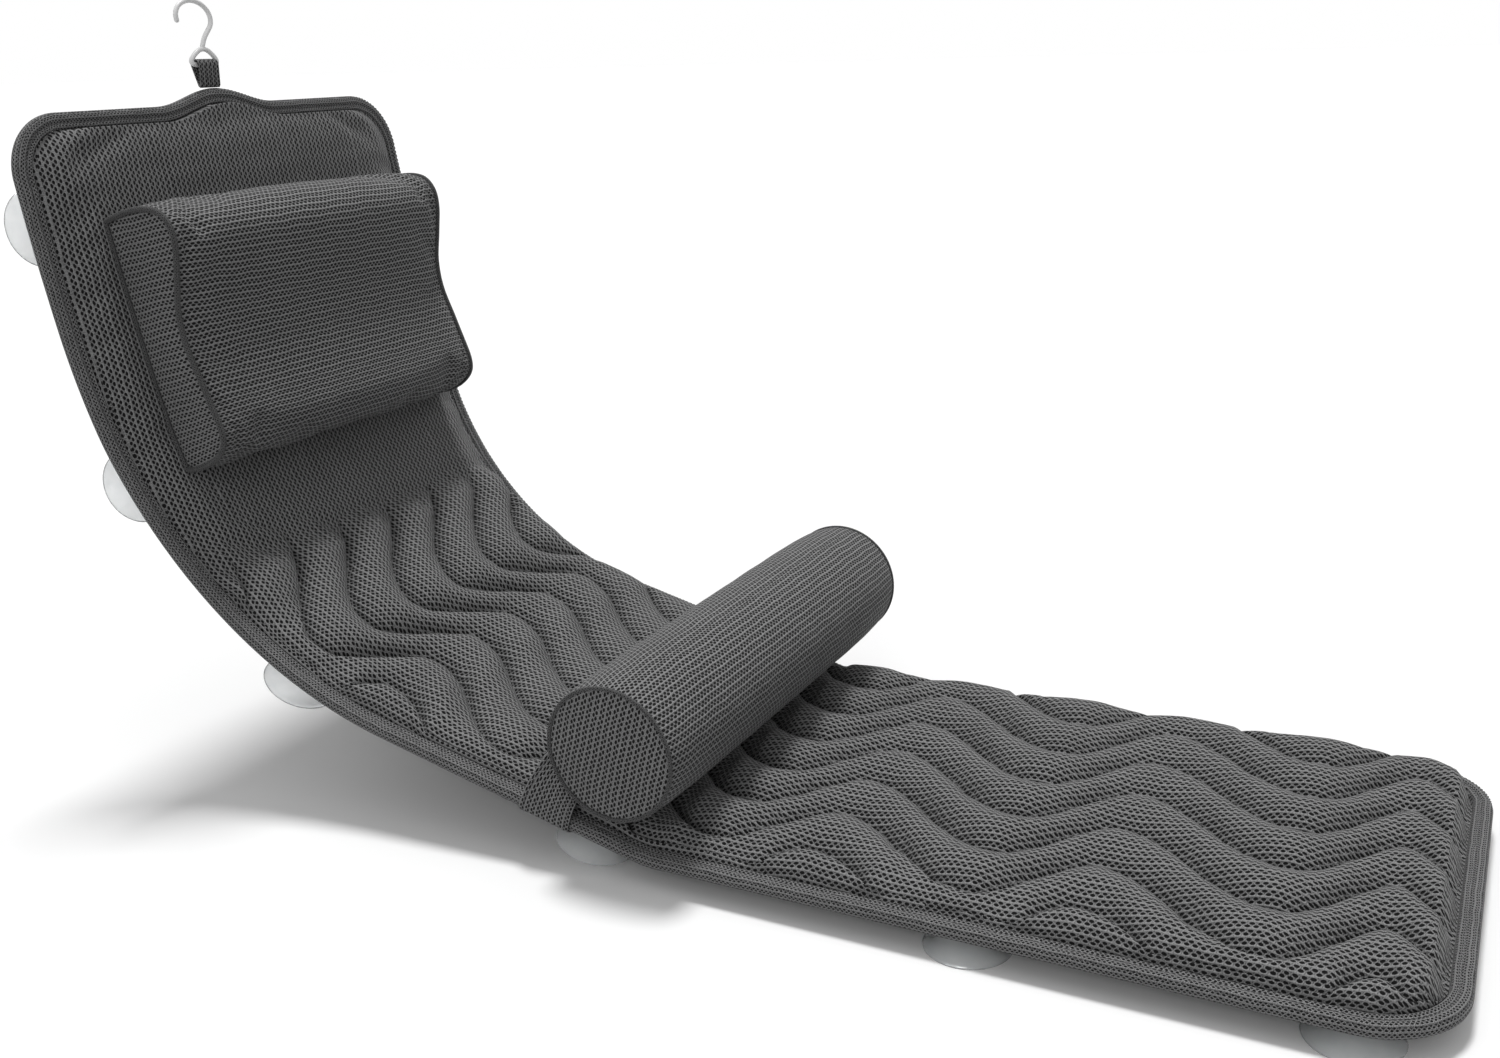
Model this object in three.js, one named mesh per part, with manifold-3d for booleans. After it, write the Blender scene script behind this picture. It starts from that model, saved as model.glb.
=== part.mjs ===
// Full-length bath cushion: a wave-quilted mesh mat with a sewn headrest, a loose bolster on a strap,
// a hanging loop with a hook, and clear suction cups underneath.
// Millimetres, +Z up. The mat lies along Y with its foot at -Y, and X runs across it.
import * as THREE from 'three';
import { mergeVertices } from 'three/addons/utils/BufferGeometryUtils.js';
import Module from 'manifold-3d';

// Driving dimensions

const clearance = 0.3;
const cutOverrun = 2;
const weldTolerance = 1e-4;

// side profile of the mat's underside, from the foot to the head
const legLength = 485;
const kneeRadius = 72;
const rampDegrees = 14;
const rampLength = 211;
const backRadius = 297;
const backDegrees = 60.4;
const headRadius = 1741;
const matLength = 1252;

// outline of the mat
const legWidth = 350;
const headWidth = 401;
const flareLength = 388;
const flareTurnShare = 0.75;
const footCornerRadius = 58;
const headCornerRadius = 45;
const humpHeight = 12;
const humpHalfWidth = 62;

// the bend strip at the hip, between the seat part and the back part
const hipStart = 661;
const hipLength = 80;

// layers of the mat, measured up from its underside
const backingThickness = 1.6;
const paddingThickness = 3.2;
const seamLevel = 7.6;
const rimLevel = 8.2;
const quiltCrest = 22;
const plainLevel = 17;
const bindingWidth = 12.5;
const bindingHeight = 9.8;
const bindingRounding = 3.8;

// wave channels of the quilting
const channelPitch = 52;
const seamCount = 7;
const waveLength = 172.6;
const waveReach = 29;
const waveStart = 110;
const waveRiseShare = 0.6;
const waveFade = 40;
const seamRimGap = 3;
const seamShift = -9;
const puffStart = 12;
const quiltEnd = 905;
const quiltFade = 34;
const quiltRowStep = 20;
const puffStationShares = [0, 0.25, 0.5, 0.75];
const cornerTurnShares = [0, 0.3, 0.62, 0.86, 1];
const plainRowStep = 34;

// sewn headrest
const headrestStart = 975;
const headrestLength = 201;
const headrestHeight = 66;
const headrestWidth = 300;
const headrestCrown = 3;
const coverWall = 1.6;
const coverDrawIn = 1.4;
const pipingRadius = 2.2;
const endPanelCrown = 2.6;
// outline of the contour pillow: share of its length, share of its height
const headrestOutlineShares = [
  [0.02, 0], [0, 0.22], [0, 0.5], [0.035, 0.71], [0.1, 0.795], [0.2, 0.8], [0.34, 0.76], [0.48, 0.71],
  [0.6, 0.75], [0.72, 0.88], [0.83, 0.985], [0.91, 0.985], [0.972, 0.86], [1, 0.6], [1, 0.28], [0.985, 0],
];
const headrestStationShares = [-1, -0.9, -0.62, 0, 0.62, 0.9, 1];
const headrestSeatInsetShare = 0.04;
const headrestSeatSteps = 8;
const pipingSides = 6;

// loose bolster
const bolsterRadius = 49.8;
const bolsterLength = 379;
const bolsterOffset = 10;
const bolsterPlace = 532;
const bolsterDrawIn = 2.4;
const bolsterStationShares = [-1, -0.95, -0.75, 0, 0.75, 0.95, 1];
const bolsterSides = 28;

// strap that carries the bolster and goes round the mat
const strapWidth = 40;
const strapThickness = 1.6;
const strapSideClearance = 0.9;
const strapLeadDegrees = 24;
const strapInset = 13;
const strapStationShares = [0, 0.25, 0.5, 0.75, 1];
// how far the strap has come down from the bolster at the two corners before the mat's edge
const strapFallShares = [0.35, 0.8];

// hanging loop and hook
const loopWidth = 20.5;
const loopThickness = 1.5;
const loopHeight = 20.4;
const loopInner = 6;
const loopOffset = -3;
const loopArcSteps = 8;
const hookWire = 3.8;
const hookPlay = 1.5;
const hookHalfWidth = 17.6;
const hookHalfHeight = 13.1;
const hookRise = 36.1;
const hookLean = 1;
const hookApex = 15;
const hookApexOffset = 2;
const hookShoulderWidth = 28.4;
const hookShoulderRise = 4.6;
const hookBarWidth = 22.5;
const hookTipDegrees = 188;
const hookTurnDegrees = -42;
const hookSides = 8;
const hookArcSteps = 16;

// suction cups
const cupRadius = 28;
const cupHeight = 14;
const cupWall = 1.7;
const cupRimWidth = 2.4;
const cupNeckRadius = 4;
const cupDomeRadius = 9.5;
const cupDomeDrop = 3.2;
const cupHeadRadius = 6;
const cupHeadHeight = 2.4;
const cupInset = 23;
const cupSeatMargin = 2.7;
const cupSides = 12;
// places of the cup rows along the mat, as shares of its length
const cupRowShares = [0.0455, 0.2221, 0.4329, 0.6398, 0.786, 0.939];

// Derived places

const radians = THREE.MathUtils.degToRad;
const kneeLength = kneeRadius * radians(rampDegrees);
const backLength = backRadius * radians(backDegrees);
const rampEnd = legLength + kneeLength + rampLength;
const hipEnd = hipStart + hipLength;
const headrestFloor = plainLevel + clearance;
const bolsterLevel = quiltCrest + clearance + bolsterRadius;
const outlineInset = bindingWidth + clearance;
const cupSeatReach = cupHeadRadius + cupSeatMargin;
const panelInset = 2 * pipingRadius + clearance;

// Materials

const dull = (color, roughness) => new THREE.MeshStandardMaterial({ color, roughness, metalness: 0 });
const meshCloth = () => dull(0x4c4c4e, 0.92);
const padding = () => dull(0xd9d8d2, 0.95);
const tape = () => dull(0x434345, 0.88);
const hookPlastic = () => dull(0xf2f2f0, 0.35);
const cupPlastic = () => new THREE.MeshStandardMaterial({
  color: 0xe9edee, roughness: 0.12, metalness: 0, transparent: true, opacity: 0.45,
});

const group = new THREE.Group();

function add(name, geometry, material) {
  const mesh = new THREE.Mesh(geometry, material);
  mesh.name = name;
  group.add(mesh);
  return mesh;
}

// Mat coordinates: x across, s along the underside, n up out of it

const stretches = [
  [legLength, 0], [kneeLength, 1 / kneeRadius], [rampLength, 0],
  [backLength, 1 / backRadius], [Infinity, 1 / headRadius],
];

function spine(s) {
  let y = 0, z = 0, angle = 0, left = s;
  for (const [length, bend] of stretches) {
    const run = Math.min(left, length);
    if (bend) {
      const turned = angle + run * bend;
      y += (Math.sin(turned) - Math.sin(angle)) / bend;
      z -= (Math.cos(turned) - Math.cos(angle)) / bend;
      angle = turned;
    } else {
      y += run * Math.cos(angle);
      z += run * Math.sin(angle);
    }
    left -= run;
    if (left <= 0) break;
  }
  return { y, z, angle };
}

function place(x, s, n) {
  const { y, z, angle } = spine(s);
  return new THREE.Vector3(x, y - n * Math.sin(angle), cupHeight + z + n * Math.cos(angle));
}

function smooth(from, to, value) {
  return THREE.MathUtils.smoothstep(value, from, to);
}

function mix(a, b, share) {
  return a + (b - a) * share;
}

// Outline of the mat, drawn in by an inset

// an ease from 0 to 1 that bends outward up to its turn and back after it
function flare(share) {
  if (share <= 0) return 0;
  if (share >= 1) return 1;
  return share < flareTurnShare ? share ** 2 / flareTurnShare : 1 - (1 - share) ** 2 / (1 - flareTurnShare);
}

// half the mat's width at s, without its corners
function sideWidth(s) {
  return mix(legWidth, headWidth, flare((s - rampEnd) / flareLength)) / 2;
}

// half the mat's width at s, narrowed round the corners
function halfWidth(s, inset = 0) {
  const side = sideWidth(s);
  const rounded = (radius, depth) => {
    const reach = radius - inset, past = Math.min(Math.max(depth, 0), reach);
    return side - radius + Math.sqrt(reach ** 2 - past ** 2);
  };
  return Math.min(rounded(footCornerRadius, footCornerRadius - s),
    rounded(headCornerRadius, s - matLength + headCornerRadius));
}

function hump(x) {
  if (Math.abs(x) >= humpHalfWidth) return 0;
  return humpHeight * (1 + Math.cos(Math.PI * x / humpHalfWidth)) / 2;
}

// stations along the mat where a rounded corner is cut into facets, from the end inward
function cornerStations(radius, inset) {
  return cornerTurnShares.map((share) => radius - (radius - inset) * Math.cos(share * Math.PI / 2));
}

const footRows = (inset) => cornerStations(footCornerRadius, inset);
const headRows = (inset) => (
  cornerStations(headCornerRadius, inset).map((back) => matLength - back).reverse());

// Closed bodies from rows of points

function body(points, faces) {
  const geometry = new THREE.BufferGeometry();
  const numbers = points.flatMap((point) => point.toArray());
  geometry.setAttribute('position', new THREE.Float32BufferAttribute(numbers, 3));
  geometry.setIndex(faces.flat());
  return geometry;
}

// joins two rows of corners, which may differ in number, into a strip that faces up
function strip(lower, upper, faces, flip) {
  let i = 0, j = 0;
  while (i < lower.length - 1 || j < upper.length - 1) {
    const ahead = i < lower.length - 1 && (j === upper.length - 1
      || (i + 1) * (upper.length - 1) <= (j + 1) * (lower.length - 1));
    const face = ahead ? [lower[i], lower[i + 1], upper[j]] : [lower[i], upper[j + 1], upper[j]];
    faces.push(flip ? face.reverse() : face);
    if (ahead) i += 1; else j += 1;
  }
}

// a padded sheet over rows of [x, s, level] points, between a top and a bottom level
function sheet(rows, topAt, bottomAt) {
  const points = [], faces = [];
  const put = (row, levelAt) => row.map(([x, s, level]) => points.push(place(x, s, levelAt(level))) - 1);
  const last = rows.length - 1;
  // only the rows beside a shaped end need all their points underneath
  const under = (row, i) => (i === 0 || i >= last - 1 ? row : [row[0], row.at(-1)]);
  const top = rows.map((row) => put(row, topAt));
  const bottom = rows.map((row, i) => put(under(row, i), bottomAt));
  for (let i = 0; i < last; i += 1) {
    strip(top[i], top[i + 1], faces, false);
    strip(bottom[i], bottom[i + 1], faces, true);
  }
  const loop = (sheetRows) => [
    ...sheetRows[0], ...sheetRows.slice(1, -1).map((row) => row.at(-1)),
    ...[...sheetRows[last]].reverse(), ...sheetRows.slice(1, -1).map((row) => row[0]).reverse(),
  ];
  const upperLoop = loop(top), lowerLoop = loop(bottom);
  upperLoop.forEach((corner, i) => {
    const next = (i + 1) % upperLoop.length;
    faces.push([lowerLoop[i], lowerLoop[next], upperLoop[next]], [lowerLoop[i], upperLoop[next], corner]);
  });
  return body(points, faces);
}

// a band of one section along stations, each from an inner to an outer [x, s] point
function band(stations, section) {
  const points = [], faces = [];
  const rings = stations.map(({ inner, outer }) => section.map(([across, level]) => (
    points.push(place(mix(inner[0], outer[0], across), mix(inner[1], outer[1], across), level)) - 1)));
  joinRings(rings, faces);
  const contour = section.map(([across, level]) => new THREE.Vector2(across * bindingWidth, level));
  for (const cap of THREE.ShapeUtils.triangulateShape(contour, [])) {
    faces.push(cap.map((k) => rings[0][k]), cap.map((k) => rings.at(-1)[k]).reverse());
  }
  return outward(body(points, faces));
}

function joinRings(rings, faces, closed = false) {
  for (let i = 0; i < rings.length - (closed ? 0 : 1); i += 1) {
    joinPair(rings[i], rings[(i + 1) % rings.length], faces);
  }
}

// a belt of faces between two rings; an inner belt has the same diagonals and faces the other way
function joinPair(here, next, faces, inner = false) {
  here.forEach((corner, j) => {
    const k = (j + 1) % here.length;
    const pair = [[corner, here[k], next[k]], [corner, next[k], next[j]]];
    faces.push(...pair.map((face) => (inner ? face.reverse() : face)));
  });
}

// turns the faces of a closed body outward where its rows ran the other way
function outward(geometry) {
  const at = geometry.getAttribute('position'), index = geometry.getIndex();
  const [a, b, c] = [new THREE.Vector3(), new THREE.Vector3(), new THREE.Vector3()];
  let volume = 0;
  for (let i = 0; i < index.count; i += 3) {
    [a, b, c].forEach((corner, k) => corner.fromBufferAttribute(at, index.getX(i + k)));
    volume += a.dot(b.cross(c));
  }
  if (volume < 0) {
    for (let i = 0; i < index.count; i += 3) {
      const first = index.getX(i);
      index.setX(i, index.getX(i + 2));
      index.setX(i + 2, first);
    }
  }
  return geometry;
}

const wasm = await Module();
wasm.setup();

function toSolid(geometry) {
  const bare = geometry.clone();
  bare.deleteAttribute('normal');
  bare.deleteAttribute('uv');
  const merged = mergeVertices(bare, weldTolerance);
  return new wasm.Manifold(new wasm.Mesh({
    numProp: 3,
    vertProperties: new Float32Array(merged.getAttribute('position').array),
    triVerts: new Uint32Array(merged.getIndex().array),
  }));
}

function toGeometry(solid) {
  const mesh = solid.getMesh();
  const geometry = new THREE.BufferGeometry();
  geometry.setAttribute('position', new THREE.BufferAttribute(new Float32Array(mesh.vertProperties), 3));
  geometry.setIndex(new THREE.BufferAttribute(new Uint32Array(mesh.triVerts), 1));
  return geometry;
}

// Quilting

function wave(s) {
  const turns = (s - waveStart) / waveLength;
  const share = turns - Math.floor(turns);
  if (share < waveRiseShare) return -Math.cos(Math.PI * share / waveRiseShare);
  return Math.cos(Math.PI * (share - waveRiseShare) / (1 - waveRiseShare));
}

function waveSlope(s) {
  const step = channelPitch / seamCount;
  return waveReach * (wave(s + step) - wave(s - step)) / (2 * step);
}

// the x of a channel border: the rim for the first and last, a waved seam between them,
// which runs along the rim where its wave would pass it
function border(k, s) {
  const half = halfWidth(s, outlineInset);
  if (k === 0 || k === seamCount + 1) return k ? half : -half;
  const spread = (sideWidth(s) - outlineInset) / (legWidth / 2 - outlineInset);
  const base = (k - (seamCount + 1) / 2) * channelPitch * spread ** 2;
  const fade = smooth(0, waveFade, s - outlineInset) * (1 - smooth(quiltEnd, quiltEnd + waveFade, s));
  const x = base + seamShift + waveReach * fade * wave(s);
  return THREE.MathUtils.clamp(x, seamRimGap - half, half - seamRimGap);
}

function quiltLevel(k, share, s) {
  if (k > seamCount || (k === 0 && share === 0)) return rimLevel;
  const x = mix(border(k, s), border(k + 1, s), share);
  const inside = halfWidth(s, outlineInset) - Math.abs(x);
  const plain = mix(rimLevel, plainLevel, smooth(0, channelPitch / 2, inside));
  const width = (border(k + 1, s) - border(k, s)) / Math.hypot(1, waveSlope(s));
  const puff = Math.min(1, width / channelPitch) * (1 - (2 * share - 1) ** 2) ** 0.75;
  const low = mix(k === 0 ? rimLevel : seamLevel, k === seamCount ? rimLevel : seamLevel, share);
  const quilted = low + (quiltCrest - low) * puff * smooth(0, puffStart, s - outlineInset);
  return mix(quilted, plain, smooth(quiltEnd - quiltFade, quiltEnd, s));
}

function quiltColumns() {
  const columns = [];
  for (let k = 0; k <= seamCount; k += 1) puffStationShares.forEach((share) => columns.push([k, share]));
  return [...columns, [seamCount + 1, 0]];
}

function quiltRow(s) {
  return quiltColumns().map(([k, share]) => {
    const x = k > seamCount ? border(k, s) : mix(border(k, s), border(k + 1, s), share);
    return [x, s, quiltLevel(k, share, s)];
  });
}

function evenSteps(from, to, step) {
  const count = Math.max(1, Math.round((to - from) / step));
  return Array.from({ length: count + 1 }, (_, i) => mix(from, to, i / count));
}

// the x stations of the head edge between its corners, and the same edge raised by the hump
const headColumns = quiltRow(matLength - outlineInset).map(([x]) => x);

function headEdge(inset, level) {
  return headColumns.map((x) => [x, matLength - inset + hump(x), level]);
}

// rows from one place to another, with one flat facet under the head of each cup
function zoneSteps(from, to) {
  const cups = cupRowShares.map((share) => share * matLength);
  const seats = cups.flatMap((s) => [s - cupSeatReach, s + cupSeatReach]);
  const marks = [from, to, quiltEnd, ...seats].filter((s) => s >= from && s <= to).sort((a, b) => a - b);
  const step = (s) => (s < quiltEnd ? quiltRowStep : plainRowStep);
  return [from, ...marks.slice(1).flatMap((mark, i) => evenSteps(marks[i], mark, step(marks[i])).slice(1))];
}

// the rows that all layers of a zone share, so that they lie on each other round the bends
const zones = {
  leg: [...footRows(outlineInset), ...zoneSteps(footCornerRadius, hipStart - clearance / 2).slice(1)],
  hip: zoneSteps(hipStart + clearance / 2, hipEnd - clearance / 2),
  back: [...zoneSteps(hipEnd + clearance / 2, matLength - headCornerRadius).slice(0, -1),
    ...headRows(outlineInset).slice(0, -1)],
};

function zoneRows(zone, rowAt) {
  const rows = zones[zone].map(rowAt);
  return zone === 'back' ? [...rows, headEdge(outlineInset, rimLevel)] : rows;
}

function addQuilt() {
  const topAt = (level) => level;
  const bottomAt = () => backingThickness + paddingThickness + 2 * clearance;
  for (const zone of Object.keys(zones)) {
    add(`mat_${zone}_quilt`, sheet(zoneRows(zone, quiltRow), topAt, bottomAt), meshCloth());
  }
}

// Flat layers under the quilting

function cupPlaces() {
  return cupRowShares.flatMap((share, row) => [-1, 1].map((side) => {
    const s = share * matLength;
    return { s, x: side * (halfWidth(s) - cupInset), name: `${side < 0 ? 'near' : 'far'}_${row + 1}` };
  }));
}

// sets a piece down at level n on the flat facet round s
function standing(geometry, x, s, n) {
  const [from, to] = [s - cupSeatReach, s + cupSeatReach].map((row) => place(x, row, 0));
  const along = to.clone().sub(from).normalize();
  const up = new THREE.Vector3(0, -along.z, along.y);
  const matrix = new THREE.Matrix4().makeBasis(new THREE.Vector3(1, 0, 0), along, up);
  matrix.setPosition(from.add(to).divideScalar(2).addScaledVector(up, n));
  return geometry.clone().applyMatrix4(matrix);
}

function lathed(profile, sides) {
  const geometry = new THREE.LatheGeometry(profile.map(([r, h]) => new THREE.Vector2(r, h)), sides);
  return geometry.rotateX(Math.PI / 2);
}

// a plug with clearance round a cup's neck or head, to cut its eyelet
function eyelet(radius, from, to, cup) {
  const profile = [[0, from], [radius + clearance, from], [radius + clearance, to], [0, to]];
  return toSolid(standing(lathed(profile, cupSides), cup.x, cup.s, 0));
}

// the two edge points of a layer's row, or the whole row beside the head edge
function layerRow(s) {
  const half = halfWidth(s, outlineInset);
  const whole = s === zones.back.at(-1);
  return whole ? headColumns.map((x) => [x * half / headColumns.at(-1), s]) : [[-half, s], [half, s]];
}

function addLayers() {
  const cups = cupPlaces();
  const paddingLevel = backingThickness + clearance;
  const headTop = paddingLevel + cupHeadHeight + clearance;
  for (const zone of Object.keys(zones)) {
    const [from, to] = [zones[zone][0], zones[zone].at(-1)];
    const rows = zoneRows(zone, layerRow);
    let core = toSolid(sheet(rows, () => paddingLevel + paddingThickness, () => paddingLevel));
    let backing = toSolid(sheet(rows, () => backingThickness, () => 0));
    for (const cup of cups.filter(({ s }) => s > from && s < to)) {
      core = core.subtract(eyelet(cupHeadRadius, -cutOverrun, headTop, cup));
      backing = backing.subtract(eyelet(cupNeckRadius, -cutOverrun, backingThickness + cutOverrun, cup));
    }
    add(`mat_${zone}_core`, toGeometry(core), padding());
    add(`mat_${zone}_backing`, toGeometry(backing), meshCloth());
  }
}

// Edge binding: a folded band with two raised ridges beside its stitch line

const bindingShares = [[0, 0], [0, 0.86], [0.2, 1], [0.36, 0.9], [0.62, 1]];

function bindingSection() {
  const edge = 1 - bindingRounding / bindingWidth;
  return [
    ...bindingShares.map(([across, up]) => [across, up * bindingHeight]),
    [edge, bindingHeight - bindingRounding / 2], [1, bindingHeight / 2], [edge, 0],
  ];
}

function sideStations(from, to, side, step) {
  return evenSteps(from, to, step).map((s) => ({
    inner: [side * halfWidth(s, bindingWidth), s], outer: [side * halfWidth(s), s],
  }));
}

// the binding's stations round an end, each at one turn of its corner or one column of its edge
function endStations(rows, end, columns) {
  const inner = rows(bindingWidth), outer = rows(0);
  const corner = (side) => inner.map((s, i) => ({
    inner: [side * halfWidth(s, bindingWidth), s], outer: [side * halfWidth(outer[i], 0), outer[i]],
  })).slice(...end);
  const across = columns.map((x) => {
    const edge = matLength + hump(x);
    return { inner: [x, edge - bindingWidth], outer: [x, edge] };
  });
  return { corner, across };
}

function addBinding() {
  const cut = clearance / 2;
  const section = bindingSection();
  const straight = (side) => [...sideStations(legLength, legLength + kneeLength, side, kneeLength / 2),
    ...sideStations(rampEnd - rampLength / 2, hipStart - cut, side, rampLength / 2)];
  const foot = endStations(footRows, [], []);
  add('mat_leg_binding', band([...straight(-1).reverse(), ...foot.corner(-1).reverse(),
    ...foot.corner(1), ...straight(1)], section), tape());
  for (const [side, name] of [[-1, 'near'], [1, 'far']]) {
    const stretch = sideStations(hipStart + cut, hipEnd - cut, side, quiltRowStep);
    add(`mat_hip_binding_${name}`, band(stretch, section), tape());
  }
  const rise = (side) => (
    sideStations(hipEnd + cut, matLength - headCornerRadius, side, 1.5 * quiltRowStep));
  const head = endStations(headRows, [1, -1], headColumns);
  add('mat_back_binding', band([...rise(-1), ...head.corner(-1), ...head.across,
    ...head.corner(1).reverse(), ...rise(1).reverse()], section), tape());
}

// Headrest

// moves each corner of a ring outward, so that its edges keep parallel to themselves
function offsetRing(ring, reachAt) {
  return ring.map((point, i) => {
    const before = ring.at(i - 1), after = ring[(i + 1) % ring.length];
    const [first, second] = [point.clone().sub(before).normalize(), after.clone().sub(point).normalize()];
    const both = first.clone().add(second).multiplyScalar(reachAt(point) / (1 + first.dot(second)));
    return new THREE.Vector2(point.x - both.y, point.y + both.x);
  });
}

// the contour outline as [s, n] points, drawn in by an inset and swelled by a crown on its free side;
// its seat has the same rows as the mat under it
function headrestRing(inset, crown = 0) {
  const free = new THREE.SplineCurve(headrestOutlineShares.map(([along, up]) => (
    new THREE.Vector2(headrestStart + along * headrestLength, headrestFloor + up * headrestHeight))));
  const margin = headrestSeatInsetShare * headrestLength;
  const seat = zones.back
    .filter((s) => s > headrestStart + margin && s < headrestStart + headrestLength - margin)
    .map((s) => new THREE.Vector2(s, headrestFloor)).reverse();
  const ring = [...free.getPoints(headrestOutlineShares.length + headrestSeatSteps), ...seat];
  const swell = (point) => crown * smooth(0, headrestHeight / 2, point.y - headrestFloor);
  return offsetRing(ring, (point) => swell(point) - inset);
}

function putRings(sections, points) {
  return sections.map(({ x, ring }) => ring.map(({ x: s, y: n }) => points.push(place(x, s, n)) - 1));
}

function fanCap(ring, centre, faces, flip) {
  ring.forEach((corner, i) => {
    const face = [corner, ring[(i + 1) % ring.length], centre];
    faces.push(flip ? face.reverse() : face);
  });
}

function ringCentre(ring) {
  const box = new THREE.Box2().setFromPoints(ring);
  return box.getCenter(new THREE.Vector2());
}

// a solid between rings of [s, n] points, closed by fans that may bulge along x
function lofted(sections, bulge) {
  const points = [], faces = [];
  const rings = putRings(sections, points);
  joinRings(rings, faces);
  [[0, -1], [sections.length - 1, 1]].forEach(([i, side]) => {
    const middle = ringCentre(sections[i].ring);
    const centre = points.push(place(sections[i].x + side * bulge(side), middle.x, middle.y)) - 1;
    fanCap(rings[i], centre, faces, side < 0);
  });
  return outward(body(points, faces));
}

// an open sleeve between two lofts of rings
function sleeve(outer, inner) {
  const points = [], faces = [];
  const outerRings = putRings(outer, points), innerRings = putRings(inner, points);
  joinRings(outerRings, faces);
  innerRings.slice(1).forEach((next, i) => joinPair(innerRings[i], next, faces, true));
  joinPair(outerRings.at(-1), innerRings.at(-1), faces);
  joinPair(innerRings[0], outerRings[0], faces);
  return outward(body(points, faces));
}

function pipingRing(x, ring, radius) {
  const points = [], faces = [];
  const rings = ring.map((point, i) => {
    const along = ring[(i + 1) % ring.length].clone().sub(ring.at(i - 1)).normalize();
    return Array.from({ length: pipingSides }, (_, k) => {
      const turn = 2 * Math.PI * k / pipingSides;
      const out = radius * Math.cos(turn);
      const [s, n] = [point.x - along.y * out, point.y + along.x * out];
      return points.push(place(x + radius * Math.sin(turn), s, n)) - 1;
    });
  });
  joinRings(rings, faces, true);
  return outward(body(points, faces));
}

function addHeadrest() {
  const half = headrestWidth / 2;
  const coverHalf = half - panelInset;
  const sections = (inset, reach) => headrestStationShares.map((share) => ({
    x: share * reach,
    ring: headrestRing(inset + coverDrawIn * share ** 4, headrestCrown * (1 - share ** 2)),
  }));
  add('headrest_cover', sleeve(sections(0, coverHalf), sections(coverWall, coverHalf)), meshCloth());
  add('headrest_core', lofted(sections(coverWall + clearance, coverHalf), () => 0), padding());
  for (const [side, name] of [[-1, 'near'], [1, 'far']]) {
    const inner = side * (coverHalf + clearance), outer = side * (coverHalf + clearance + coverWall);
    const plate = [inner, outer].map((x) => ({ x, ring: headrestRing(panelInset) }));
    const ordered = side < 0 ? [...plate].reverse() : plate;
    const bulge = (face) => (face * side > 0 ? endPanelCrown : 0);
    add(`headrest_end_${name}`, lofted(ordered, bulge), meshCloth());
    add(`headrest_piping_${name}`,
      pipingRing(side * (half - pipingRadius), headrestRing(pipingRadius), pipingRadius), tape());
  }
}

// Bolster

// turned about the bolster's axis, with stations measured from its middle
function turned(profile) {
  const geometry = lathed(profile.map(([x, r]) => [r, x]), bolsterSides);
  geometry.rotateY(Math.PI / 2);
  return standing(geometry, bolsterOffset, bolsterPlace, bolsterLevel);
}

function bolsterSkin(share, inset) {
  return bolsterRadius - bolsterDrawIn * Math.abs(share) ** 6 - inset;
}

function addBolster() {
  const half = bolsterLength / 2;
  const coverHalf = half - panelInset;
  const line = (inset) => bolsterStationShares.map((share) => (
    [share * coverHalf, bolsterSkin(share, inset)]));
  const skin = line(0);
  const cover = [...skin, ...line(coverWall).reverse(), skin[0]];
  add('bolster_cover', outward(toClosed(turned(cover))), meshCloth());
  const coreLine = line(coverWall + clearance);
  add('bolster_core', outward(toClosed(turned([[-coverHalf, 0], ...coreLine, [coverHalf, 0]]))), padding());
  const ringRadius = bolsterSkin(1, pipingRadius - coverDrawIn / 2);
  const discRadius = ringRadius - pipingRadius - clearance;
  for (const [side, name] of [[-1, 'near'], [1, 'far']]) {
    const seam = side * (half - pipingRadius), inner = side * (coverHalf + clearance);
    const piping = Array.from({ length: pipingSides + 1 }, (_, k) => {
      const turn = 2 * Math.PI * (k % pipingSides) / pipingSides;
      return [seam + pipingRadius * Math.sin(turn), ringRadius + pipingRadius * Math.cos(turn)];
    });
    add(`bolster_piping_${name}`, outward(toClosed(turned(piping))), tape());
    const face = inner + side * coverWall;
    const disc = [[inner, 0], [inner, discRadius], [face, discRadius],
      [face + side * endPanelCrown * 0.8, discRadius * 0.6], [face + side * endPanelCrown, 0]];
    add(`bolster_end_${name}`, outward(toClosed(turned(disc))), meshCloth());
  }
}

function toClosed(geometry) {
  const bare = geometry.clone();
  bare.deleteAttribute('normal');
  bare.deleteAttribute('uv');
  const merged = mergeVertices(bare, weldTolerance);
  const index = merged.getIndex(), kept = [];
  for (let i = 0; i < index.count; i += 3) {
    const [a, b, c] = [index.getX(i), index.getX(i + 1), index.getX(i + 2)];
    if (a !== b && b !== c && a !== c) kept.push(a, b, c);
  }
  merged.setIndex(kept);
  return merged;
}

// Strap: laid on the rear of the bolster's underside, then round the mat's edges and underneath

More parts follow.
